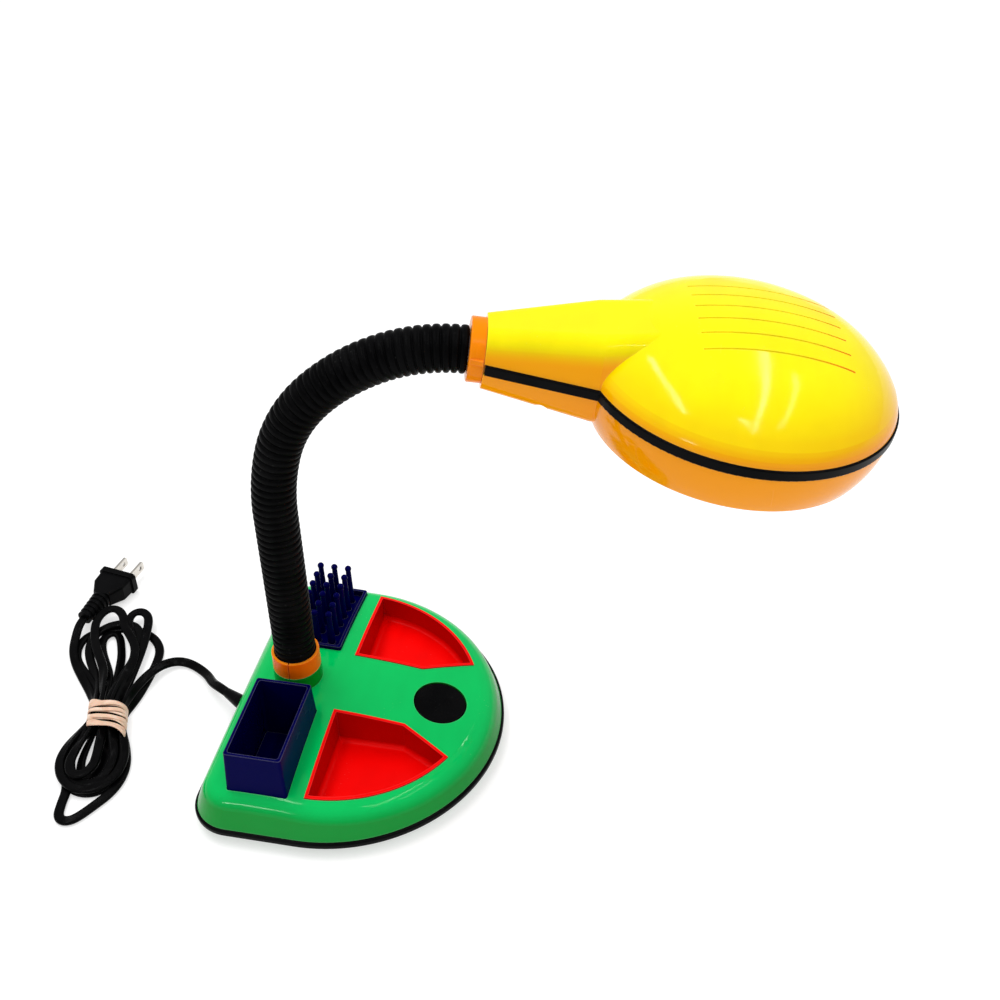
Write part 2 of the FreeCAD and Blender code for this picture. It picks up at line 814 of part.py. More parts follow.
def make_head_shell(side):
    outer = neck_form(0.0, side).fuse(dome_form(0.0, side)).removeSplitter()
    inner = neck_form(head_wall, side).fuse(dome_form(head_wall, side, 5.0 if side < 0 else 0.0))
    shell = outer.cut(inner)
    # the trim band takes the outer wall's place beside the parting plane
    lip_outer = trim_depth + 0.3
    lip_inner = lip_outer + joint_lip
    band_room = trim_half + 0.1
    low = 0.0 if side > 0 else -band_room
    cut_zone = plan_prism(-5.0, low, band_room, -1.0).cut(plan_prism(lip_outer, low, band_room, -1.0))
    lip_low = 0.08 if side > 0 else -band_room - 3.4
    lip_zone = plan_prism(lip_outer, lip_low, band_room + 3.3, 0.0)
    lip_zone = lip_zone.cut(plan_prism(lip_inner, lip_low - 1.0, band_room + 8.0, head_wall))
    bridge_low = band_room if side > 0 else -band_room - 3.4
    bridge = plan_prism(head_wall - 1.2, bridge_low, 3.4, 0.0)
    bridge = bridge.cut(plan_prism(lip_inner, bridge_low - 1.0, 6.0, head_wall)).common(outer)
    shell = shell.cut(cut_zone).fuse([lip_zone.common(outer), bridge])
    for y in (-head_post[1], head_post[1]):
        length = neck_rear_top if side > 0 else neck_rear_bottom
        foot = Vector(head_post[0], y, 0.08 if side > 0 else -0.08 - length)
        post = cylinder(head_post_radius, length, foot).common(outer)
        shell = shell.fuse(post)
    cuts = [cylinder(core_radius + case_gap, 2 * head_wall + 4.0, Vector(-2.0, 0, 0), Vector(1, 0, 0))]
    cuts.append(Part.makeBox(300.0, 300.0, 0.16, Vector(-20.0, -150.0, -0.08)))
    for y in (-head_post[1], head_post[1]):
        if side > 0:
            cuts.append(cylinder(screw_radius - 0.1, 12.0, Vector(head_post[0], y, -1.0)))
        else:
            cuts.append(cylinder(screw_radius + case_gap, 40.0, Vector(head_post[0], y, -38.0)))
            cuts.append(cylinder(screw_head + case_gap, 30.0, Vector(head_post[0], y, -head_screw_seat - 30.0)))
    if side > 0:
        cuts += head_grooves()
    return shell.cut(cuts).removeSplitter()


def head_grooves():
    skin = dome_form(0.0, 1).fuse(neck_form(0.0, 1)).cut(
        dome_form(groove_depth, 1).fuse(neck_form(groove_depth, 1)))
    grooves = []
    for i in range(groove_count):
        y = (i - (groove_count - 1) / 2) * groove_pitch
        slab = Part.makeBox(groove_end - groove_start, groove_width, 40.0,
                            Vector(groove_start, y - groove_width / 2, 15.0))
        grooves.append(slab.common(skin))
    return grooves


def make_head_trim():
    high = 2 * trim_half
    outer = plan_prism(-trim_proud, -trim_half, high, 0.6)
    edges = [e for e in outer.Edges if e.BoundBox.ZLength < 0.01 and e.BoundBox.XMax > 20.0]
    outer = outer.makeFillet(trim_round, edges)
    return outer.cut(plan_prism(trim_depth, -trim_half - 1.0, high + 2.0, -1.0))


def make_head_collar():
    x_way = Vector(1, 0, 0)
    start = Vector(-head_collar_length + 0.1, 0, 0.6)
    body = cylinder(head_collar_radius, head_collar_length - 0.2, start, x_way)
    edges = [e for e in body.Edges if e.BoundBox.XLength < 0.01 and e.BoundBox.XMax < -1.0]
    body = body.makeFillet(0.8, edges)
    rear, front = 0.9 - head_collar_length, -0.7
    root = -0.9 * head_collar_radius
    corners = [Vector(rear, root, 0), Vector(rear, -head_collar_radius, 0),
               Vector(front, -head_collar_radius - collar_rib_proud, 0), Vector(front, root, 0)]
    rib = prism(Part.makePolygon(corners + corners[:1]), collar_rib_tall)
    rib.translate(Vector(0, 0, collar_rib_level))
    body = body.fuse(rib)
    return body.cut(cylinder(core_radius + case_gap, head_collar_length + 2.0,
                             Vector(-head_collar_length - 1.0, 0, 0), x_way))


def make_head_nut():
    return hexagon(19.0, nut_thick, Vector(head_wall + 0.3, 0, 0), Vector(1, 0, 0))


def make_reflector():
    inset = head_wall + reflector_gap
    bowl = dome_form(inset, 1).cut(dome_form(inset + reflector_wall, 1))
    rim_cut = Part.makeBox(300.0, 300.0, reflector_rim, Vector(-20.0, -150.0, 0))
    passage = cylinder(socket_radius + 3.0, dome_center, Vector(0, 0, socket_height), Vector(1, 0, 0))
    return bowl.cut([rim_cut, passage])


def make_socket():
    x_way = Vector(1, 0, 0)
    body = cylinder(socket_radius, socket_front - socket_rear, Vector(socket_rear, 0, socket_height), x_way)
    edges = [e for e in body.Edges if e.BoundBox.XLength < 0.01]
    body = body.makeFillet(1.2, edges)
    room = cylinder(socket_radius - socket_wall, socket_front - socket_rear,
                    Vector(socket_rear + 9.0, 0, socket_height), x_way)
    return body.cut(room)


def make_bracket():
    plate = Part.makeBox(bracket_thick, bracket_plate, bracket_plate,
                         Vector(socket_rear - bracket_thick - 0.05, -bracket_plate / 2,
                                socket_height - bracket_plate / 2))
    foot_rear = socket_rear - bracket_foot
    depth = neck_rear_bottom + (neck_front_bottom - neck_rear_bottom) * foot_rear / neck_length
    foot_z = -depth + head_wall + 0.4
    leg = Part.makeBox(bracket_thick, bracket_leg, socket_height - bracket_lap - foot_z,
                       Vector(socket_rear - bracket_thick - 0.05, -bracket_leg / 2, foot_z))
    foot = Part.makeBox(bracket_foot, bracket_leg, bracket_thick,
                        Vector(foot_rear - 0.05, -bracket_leg / 2, foot_z))
    hole = cylinder(bracket_hole, 10.0, Vector(socket_rear - 6.0, 0, socket_height), Vector(1, 0, 0))
    return plate.fuse([leg, foot]).cut(hole).removeSplitter()


def bulb_profile(inset):
    """Half outline of the glass, from its neck in the cap to the round end."""
    z = socket_height
    center = bulb_reach - bulb_radius
    neck_r = cap_radius - 1.6 - inset
    r = bulb_radius - inset
    neck_x0 = socket_front - 12.0
    neck_x1 = socket_front - 2.6
    lean = 50.0
    touch_x, touch_z = center - r * cos(lean), z + r * sin(lean)
    return [
        line((neck_x0, 0, z), (neck_x0, 0, z + neck_r)),
        line((neck_x0, 0, z + neck_r), (neck_x1, 0, z + neck_r)),
        line((neck_x1, 0, z + neck_r), (touch_x, 0, touch_z)),
        arc((touch_x, 0, touch_z), (center + r * cos(65), 0, z + r * sin(65)), (center + r, 0, z)),
        line((center + r, 0, z), (neck_x0, 0, z)),
    ]


def make_bulb():
    glass = Part.Face(Part.Wire(bulb_profile(0.0))).revolve(Vector(0, 0, socket_height), Vector(1, 0, 0), 360)
    hollow = Part.Face(Part.Wire(bulb_profile(glass_wall)))
    hollow = hollow.revolve(Vector(0, 0, socket_height), Vector(1, 0, 0), 360)
    hollow.translate(Vector(glass_wall, 0, 0))
    keep = cylinder(40.0, 100.0, Vector(socket_front - 12.0 + glass_wall, 0, socket_height), Vector(1, 0, 0))
    return glass.cut(hollow.common(keep).common(glass))


def make_bulb_cap():
    x_way = Vector(1, 0, 0)
    front = socket_front - 3.0
    body = cylinder(cap_radius, cap_length, Vector(front - cap_length, 0, socket_height), x_way)
    tip = Part.makeCone(5.0, cap_radius - 1.0, 2.0, Vector(front - cap_length - 2.0, 0, socket_height), x_way)
    room = cylinder(cap_radius - 1.5, 12.0, Vector(front - 9.1, 0, socket_height), x_way)
    return body.fuse(tip).cut(room)


def make_head_screws():
    screws = []
    for y in (-head_post[1], head_post[1]):
        foot = Vector(head_post[0], y, -head_screw_seat - screw_head_thick - 0.05)
        head = cylinder(screw_head, screw_head_thick, foot)
        shank = cylinder(screw_radius - 0.15, 14.0, foot)
        screws.append(head.fuse(shank))
    return group(screws)


# Cords: straight runs joined by tangent arcs
def cord_path(points):
    """Wire along a route, each corner rounded by 0.45 of its shorter run."""
    edges = []
    radii = []
    here = points[0]
    for i in range(1, len(points) - 1):
        into = points[i] - points[i - 1]
        out = points[i + 1] - points[i]
        turn = into.getAngle(out)
        reach = 0.45 * min(into.Length, out.Length)
        radius = reach / math.tan(turn / 2)
        radii.append(round(radius, 1))
        into.normalize()
        out.normalize()
        first = points[i] - into * reach
        last = points[i] + out * reach
        bisector = (out - into)
        bisector.normalize()
        middle = points[i] + bisector * (radius / math.cos(turn / 2) - radius)
        edges.append(Part.LineSegment(here, first).toShape())
        edges.append(Part.Arc(first, middle, last).toShape())
        here = last
    edges.append(Part.LineSegment(here, points[-1]).toShape())
    return Part.Wire(edges), radii


def sweep(path, start, way, radius):
    circle = Part.Wire([Part.makeCircle(radius, start, way)])
    return path.makePipeShell([circle], True, False)


def make_cord(points, name):
    path, radii = cord_path(points)
    tube = sweep(path, points[0], points[1] - points[0], cord_radius)
    section = math.pi * cord_radius ** 2
    print(name, "length", round(path.Length, 1), "radii", radii,
          "volume share", round(tube.Volume / (section * path.Length), 4))
    return tube


def biarc(start, start_way, stop, stop_way, reach, reach_at_start):
    """Two tangent arcs between two points, one tangent length given."""
    span = stop - start
    if reach_at_start:
        a = reach
        b = (span.dot(span) - 2 * a * span.dot(start_way)) / (
            2 * (span.dot(stop_way) + a * (1 - start_way.dot(stop_way))))
    else:
        b = reach
        a = (span.dot(span) - 2 * b * span.dot(stop_way)) / (
            2 * (span.dot(start_way) + b * (1 - start_way.dot(stop_way))))
    corner_a = start + start_way * a
    corner_b = stop - stop_way * b
    join = (corner_a * b + corner_b * a) * (1 / (a + b))
    return [arc_by_corner(start, corner_a, join), arc_by_corner(join, corner_b, stop)]


def arc_by_corner(a, corner, b):
    chord = (a + b) * 0.5
    half = (b - a).Length / 2
    side = (corner - a).Length
    sagitta = half * math.tan(math.acos(min(1.0, half / side)) / 2)
    out = corner - chord
    out.normalize()
    return Part.Arc(a, chord + out * sagitta, b).toShape()


hank_right = Vector(cos(hank_lean), sin(hank_lean), 0)
hank_up = Vector(-sin(hank_lean), cos(hank_lean), 0)
hank_half = hank_loops / 2


def hank_point(right, along, z):
    return Vector(hank_waist[0], hank_waist[1], z) + hank_right * right + hank_up * along


def hank_inset(turn):
    return turn if turn <= hank_half else hank_loops - turn


def hank_station(quarter):
    """Place and heading of the hank's centre line at each quarter turn."""
    turn = quarter / 4
    inset = hank_inset(turn)
    low = cord_radius + hank_lift
    climbed = turn > hank_half
    layer = hank_layer if climbed else 0.0
    waist_z = low + layer
    tip_z = cord_radius + 0.1 + layer
    waist_reach = 0.25 * hank_step + hank_step * (hank_half - 0.25 - inset)
    place = quarter % 4
    if quarter == 0:
        waist_reach += hank_ease
    if place == 0:
        return hank_point(waist_reach, 0, waist_z), hank_up * -1
    if place == 1:
        return hank_point(lower_tip[0], -(lower_tip[1] - lobe_step * inset), tip_z), hank_right * -1
    if place == 2:
        return hank_point(-waist_reach, 0, waist_z), hank_up
    return hank_point(upper_tip[0], upper_tip[1] - lobe_step * inset, tip_z), hank_right


def lobe_reach(tip, waist, lobe):
    """Tangent length of the round end of a lobe, from the circle that it follows."""
    local = waist - tip
    across = abs(local.dot(hank_right))
    along = abs(local.dot(hank_up))
    flank = (across ** 2 + (along - lobe) ** 2 - lobe ** 2) / (2 * (lobe - across))
    turn = 90.0 + math.degrees(math.atan2(along - lobe, across + flank))
    return lobe * tan(turn / 2)


def make_hank():
    quarters = int(hank_loops * 4)
    stations = [hank_station(q) for q in range(quarters + 1)]
    diameter = 2 * cord_radius
    edges = [Part.LineSegment(stations[0][0] - stations[0][1] * diameter, stations[0][0]).toShape()]
    for q in range(quarters):
        start, start_way = stations[q]
        stop, stop_way = stations[q + 1]
        at_waist = q % 2 == 0
        tip, waist = (stop, start) if at_waist else (start, stop)
        upper = q % 4 >= 2
        inset = hank_inset((q + (1 if at_waist else 0)) / 4)
        lobe = (upper_lobe if upper else lower_lobe) - lobe_step * inset
        reach = lobe_reach(tip, waist, lobe)
        edges += biarc(start, start_way, stop, stop_way, reach, not at_waist)
    end, end_way = stations[-1]
    edges.append(Part.LineSegment(end, end + end_way * diameter).toShape())
    path = Part.Wire(edges)
    samples = path.discretize(Distance=1.5)
    far = int(4 * diameter / 1.5)
    gap = min((samples[i] - samples[j]).Length
              for i in range(len(samples)) for j in range(i + far, len(samples)))
    begin = stations[0][0] - stations[0][1] * diameter
    tube = sweep(path, begin, stations[0][1], cord_radius)
    section = math.pi * cord_radius ** 2
    print("cord_hank length", round(path.Length, 1), "least gap", round(gap - diameter, 2),
          "volume share", round(tube.Volume / (section * path.Length), 4))
    return tube, begin, stations[0][1], end + end_way * diameter, end_way


def make_tie():
    """Rubber band wound round the hank's waist, as one tube of stretched turns."""
    half_wide = hank_step * hank_half + hank_ease + cord_radius + tie_gap + tie_slack + tie_wire
    low = hank_lift - tie_gap - tie_wire
    high = 2 * cord_radius + hank_lift + hank_layer + tie_gap + tie_wire
    middle_z = (low + high) / 2
    start_along = -tie_turns * tie_pitch / 2
    edges = []
    side_reach = (high - low) / 2
    count = tie_turns * 4
    stations = []
    for q in range(count + 1):
        along = start_along + tie_pitch * q / 4
        place = q % 4
        if place == 0:
            stations.append((hank_point(0, along, high), hank_right))
        elif place == 1:
            stations.append((hank_point(half_wide, along, middle_z), up * -1))
        elif place == 2:
            stations.append((hank_point(0, along, low), hank_right * -1))
        else:
            stations.append((hank_point(-half_wide, along, middle_z), up))
    for q in range(count):
        start, start_way = stations[q]
        stop, stop_way = stations[q + 1]
        edges += biarc(start, start_way, stop, stop_way, side_reach * 0.86, q % 2 == 1)
    path = Part.Wire(edges)
    samples = path.discretize(Distance=0.8)
    far = int(10.0 / 0.8)
    gap = min((samples[i] - samples[j]).Length
              for i in range(len(samples)) for j in range(i + far, len(samples)))
    print("hank_tie length", round(path.Length, 1), "least gap", round(gap - 2 * tie_wire, 2))
    return sweep(path, stations[0][0], stations[0][1], tie_wire)


bushing_axis = Vector(*bushing_way)
bushing_axis.normalize()
bushing_point = Vector(*bushing_wall_point)


def bushing_core(grow):
    """Straight part of the bushing that goes through the rear wall."""
    start = bushing_point - bushing_axis * bushing_inside
    return cylinder(bushing_root + grow, bushing_inside + 4.0, start, bushing_axis)


def make_bushing():
    start = bushing_point - bushing_axis * bushing_inside
    inside = cylinder(bushing_root, bushing_inside + 1.0, start, bushing_axis)
    outside = Part.makeCone(bushing_root, bushing_tip, bushing_outside - 1.0,
                            bushing_point + bushing_axis * 1.0, bushing_axis)
    flange = cylinder(bushing_flange, 1.6, start, bushing_axis)
    whole = inside.fuse([outside, flange])
    bore = cylinder(cord_radius + 0.05, bushing_inside + 1.0, start, bushing_axis)
    return whole.cut(bore).removeSplitter()


def make_inner_lead():
    """Lead inside the base, from the bushing to the switch."""
    start = bushing_point + bushing_axis * 1.0
    points = [start, bushing_point - bushing_axis * inner_lead_straight]
    points += [Vector(*place) for place in inner_lead_route]
    points.append(Vector(switch_rear, -switch_lead_side, points[-1].z))
    return make_cord(points, "inner_lead")


def make_neck_leads():
    """Pair of leads from the switch up through the conduit's foot."""
    points = [Vector(*place) for place in neck_lead_route]
    points.insert(0, Vector(switch_rear, switch_lead_side, points[0].z))
    points += [Vector(neck_x, 0, points[-1].z), Vector(neck_x, 0, neck_lead_top)]
    return make_cord(points, "neck_lead")


plug_axis = Vector(sin(plug_turn), cos(plug_turn), 0)
plug_side = Vector(cos(plug_turn), -sin(plug_turn), 0)
plug_face = Vector(*plug_front)
relief_end = plug_face - plug_axis * (flange_length + plug_body_length + relief_length)


def plug_block(width, thick, distance, corner):
    """Rounded rectangle across the plug at a distance behind its face."""
    x0, y0 = width / 2, thick / 2
    center = plug_face - plug_axis * distance
    d = corner * (1 - math.sqrt(0.5))

    def at(x, y):
        p = center + plug_side * x + up * y
        return (p.x, p.y, p.z)
    c = corner
    return Part.Wire([
        line(at(-x0 + c, -y0), at(x0 - c, -y0)),
        arc(at(x0 - c, -y0), at(x0 - d, -y0 + d), at(x0, -y0 + c)),
        line(at(x0, -y0 + c), at(x0, y0 - c)),
        arc(at(x0, y0 - c), at(x0 - d, y0 - d), at(x0 - c, y0)),
        line(at(x0 - c, y0), at(-x0 + c, y0)),
        arc(at(-x0 + c, y0), at(-x0 + d, y0 - d), at(-x0, y0 - c)),
        line(at(-x0, y0 - c), at(-x0, -y0 + c)),
        arc(at(-x0, -y0 + c), at(-x0 + d, -y0 + d), at(-x0 + c, -y0)),
    ])


def make_plug_body():
    flange = Part.makeLoft([plug_block(plug_width, plug_thick, 0, 2.5),
                            plug_block(plug_width, plug_thick, flange_length, 2.5)], True, True)
    shoulder = flange_length + plug_body_length * 0.5
    rear = flange_length + plug_body_length
    body = Part.makeLoft([plug_block(plug_body_width, plug_thick - 2.0, flange_length - 0.5, 2.0),
                          plug_block(plug_body_width - 1.0, plug_thick - 2.4, shoulder, 2.0),
                          plug_block(plug_neck_width, plug_neck_thick, rear, 2.0)], True, True)
    relief = Part.makeCone(relief_tip, relief_root, relief_length + 0.5, relief_end, plug_axis)
    ribs = []
    for i in range(relief_ribs):
        share = i / (relief_ribs - 1)
        radius = relief_tip + (relief_root - relief_tip) * share + relief_rib
        place = relief_end + plug_axis * (0.2 + (relief_length - 3.0) * share)
        ribs.append(cylinder(radius, 1.6, place, plug_axis))
    whole = flange.fuse([body, relief] + ribs).removeSplitter()
    for blade in blades(0.0):
        whole = whole.cut(blade)
    return whole


def blades(ahead):
    made = []
    for side in (-1, 1):
        middle = plug_face + plug_side * (side * blade_spacing / 2)
        root = middle - plug_axis * blade_root - plug_side * (blade_thick / 2) - up * (blade_width / 2)
        blank = Part.makeBox(blade_thick, blade_length + blade_root, blade_width)
        tip = [e for e in blank.Edges if e.BoundBox.YMin > blade_length + blade_root - 0.01
               and e.BoundBox.XLength > blade_thick - 0.01]
        blank = blank.makeFillet(1.4, tip)
        hole = cylinder(blade_hole, 4.0, Vector(-1.0, blade_length + blade_root - 4.0, blade_width / 2),
                        Vector(1, 0, 0))
        blank = blank.cut(hole)
        blank.Placement = FreeCAD.Placement(root + plug_axis * ahead, FreeCAD.Rotation(up, -plug_turn))
        made.append(blank)
    return made


def main():
    write(make_base_shell(), "base_shell")
    write(make_band(), "base_trim_band")
    write(make_pan(), "base_pan")
    write(prism(base_outline(foot_inset, 0.0), foot_thick - 0.02), "foam_foot")
    write(make_ballast(), "ballast_plate")
    write(make_screws(), "base_screws")
    write(make_pen_box(), "pen_box")
    write(make_peg_rack(), "peg_rack")
    tray = make_tray()
    write(tray, "tray_far")
    write(tray.mirror(origin, Vector(0, 1, 0)), "tray_near")
    write(make_button(), "push_button")
    write(make_switch(), "switch_body")
    write(make_neck_washer(), "neck_washer")
    write(make_neck_nut(), "neck_nut")
    write(make_base_collar(1), "base_collar_front")
    write(make_base_collar(-1), "base_collar_rear")
    for index in range(link_count):
        number = str(index + 1).zfill(2)
        write(make_sleeve(index), "hose_sleeve_" + number)
        write(make_core(index), "hose_conduit_" + number)
    write(on_head(make_head_collar()), "head_collar")
    write(on_head(make_head_nut()), "head_nut")
    write(on_head(make_head_shell(1)), "head_upper_shell")
    write(on_head(make_head_shell(-1)), "head_lower_shell")
    write(on_head(make_head_trim()), "head_trim_band")
    write(on_head(make_reflector()), "reflector")
    write(on_head(make_socket()), "lamp_socket")
    write(on_head(make_bracket()), "socket_bracket")
    write(on_head(make_bulb()), "bulb_glass")
    write(on_head(make_bulb_cap()), "bulb_cap")
    write(on_head(make_head_screws()), "head_screws")
    write(make_bushing(), "cord_bushing")
    write(make_inner_lead(), "inner_lead")
    write(make_neck_leads(), "neck_lead")
    hank, begin, begin_way, end, end_way = make_hank()
    write(hank, "cord_hank")
    write(make_tie(), "hank_tie")
    exit_point = bushing_point + bushing_axis * (bushing_outside)
    lead = [exit_point, exit_point + bushing_axis * lead_start]
    lead += [Vector(*p) for p in lead_points]
    lead += [begin - begin_way * lead_end, begin]
    write(make_cord(lead, "cord_lead"), "cord_lead")
    tail = [end, end + end_way * tail_start]
    tail += [hank_point(*p) for p in tail_points]
    tail += [relief_end - plug_axis * tail_end, relief_end]
    write(make_cord(tail, "cord_tail"), "cord_tail")
    write(make_plug_body(), "plug_body")
    write(group(blades(0.0)), "plug_blades")


main()
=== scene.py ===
"""Gooseneck desk lamp on a desk-tidy base, with its lead folded into a hank."""
import math

import bmesh
import bpy
from mathutils import Matrix, Vector


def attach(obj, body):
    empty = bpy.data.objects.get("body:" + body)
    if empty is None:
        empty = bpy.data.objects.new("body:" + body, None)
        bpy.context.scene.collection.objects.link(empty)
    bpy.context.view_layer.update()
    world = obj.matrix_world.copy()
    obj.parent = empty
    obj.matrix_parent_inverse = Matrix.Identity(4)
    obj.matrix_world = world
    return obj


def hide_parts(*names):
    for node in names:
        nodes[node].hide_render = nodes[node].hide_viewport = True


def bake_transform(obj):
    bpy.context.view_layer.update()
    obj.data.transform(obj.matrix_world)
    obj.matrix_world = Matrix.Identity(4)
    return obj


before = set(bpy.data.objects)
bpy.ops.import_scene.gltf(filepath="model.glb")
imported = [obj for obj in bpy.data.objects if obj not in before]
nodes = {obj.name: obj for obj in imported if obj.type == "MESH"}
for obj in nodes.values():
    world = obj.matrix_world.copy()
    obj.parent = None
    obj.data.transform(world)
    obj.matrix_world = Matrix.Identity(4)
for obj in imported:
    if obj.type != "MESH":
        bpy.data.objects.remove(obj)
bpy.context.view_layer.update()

mm = 0.001
up = Vector((0, 0, 1))


def metres(points):
    return [Vector(p) * mm for p in points]


# Camera: its place in metres, how far it turns left, looks down and rolls in radians, and its focal
# length as a multiple of the sensor's width

camera_place = (0.1919, -0.4970, 0.5832)
camera_turn = 0.1919
camera_pitch = 0.6698
camera_roll = 0.0081
sensor_width = 36.0
focal_multiple = 1.3031


def place_camera():
    level_ahead = Vector((-math.sin(camera_turn), math.cos(camera_turn), 0))
    ahead = level_ahead * math.cos(camera_pitch) - up * math.sin(camera_pitch)
    right = Vector((math.cos(camera_turn), math.sin(camera_turn), 0))
    down = ahead.cross(right)
    frame_right = right * math.cos(camera_roll) + down * math.sin(camera_roll)
    frame_up = right * math.sin(camera_roll) - down * math.cos(camera_roll)
    lens = bpy.data.cameras.new("view")
    lens.sensor_width = sensor_width
    lens.lens = sensor_width * focal_multiple
    camera = bpy.data.objects.new("view", lens)
    turned = Matrix((frame_right, frame_up, -ahead)).transposed().to_4x4()
    camera.matrix_world = Matrix.Translation(camera_place) @ turned
    bpy.context.collection.objects.link(camera)
    bpy.context.scene.camera = camera


place_camera()


# Meshes

def add_piece(name, mesh):
    piece = bpy.data.objects.new(name, mesh)
    bpy.context.collection.objects.link(piece)
    return piece


def skin(name, rings, closed_ends=True):
    """Tube through rings of points, each ring with the same number of them."""
    made = bmesh.new()
    rows = [[made.verts.new(p) for p in ring] for ring in rings]
    count = len(rows[0])
    for lower, upper in zip(rows, rows[1:]):
        for i in range(count):
            j = (i + 1) % count
            made.faces.new((lower[i], lower[j], upper[j], upper[i]))
    if closed_ends:
        made.faces.new(rows[0][::-1])
        made.faces.new(rows[-1])
    for face in made.faces:
        face.smooth = len(face.verts) == 4
    bmesh.ops.recalc_face_normals(made, faces=made.faces)
    mesh = bpy.data.meshes.new(name)
    made.to_mesh(mesh)
    made.free()
    return add_piece(name, mesh)


def smooth_step(t):
    t = min(1.0, max(0.0, t))
    return t * t * (3 - 2 * t)


# Mains lead: the free stretch, the hank and the end at the plug are one cord

cord_wide = 5.6
cord_thick = 2.9
cord_corners = 24
cord_flatness = 2.4
cord_valley = 0.26
cord_floor_gap = 0.1
spline_steps = 9
hank_waist = Vector((-140.0, -18.0, 0.0))
hank_right = Vector((0.94369, 0.33084, 0.0))
hank_up = Vector((-0.33084, 0.94369, 0.0))


def hank_point(right, along, z):
    return hank_waist + hank_right * right + hank_up * along + up * z


# Control points of the cord's line, in order: place in mm, and how far the flat lead is turned on
# its edge there, in degrees. The free stretch runs from the bushing to the hank.
lead_route = [
    ((-68.4, -2.0, 13.4), 50), ((-71.8, 0.2, 12.9), 48), ((-78.3, 4.3, 11.9), 32), ((-84.7, 10.1, 7.8), 16),
    ((-93.4, 21.2, 2.9), 10), ((-106.3, 28.2, 2.4), 30), ((-115.5, 27.6, 3.6), 44), ((-122.6, 20.8, 5.2), 34),
]

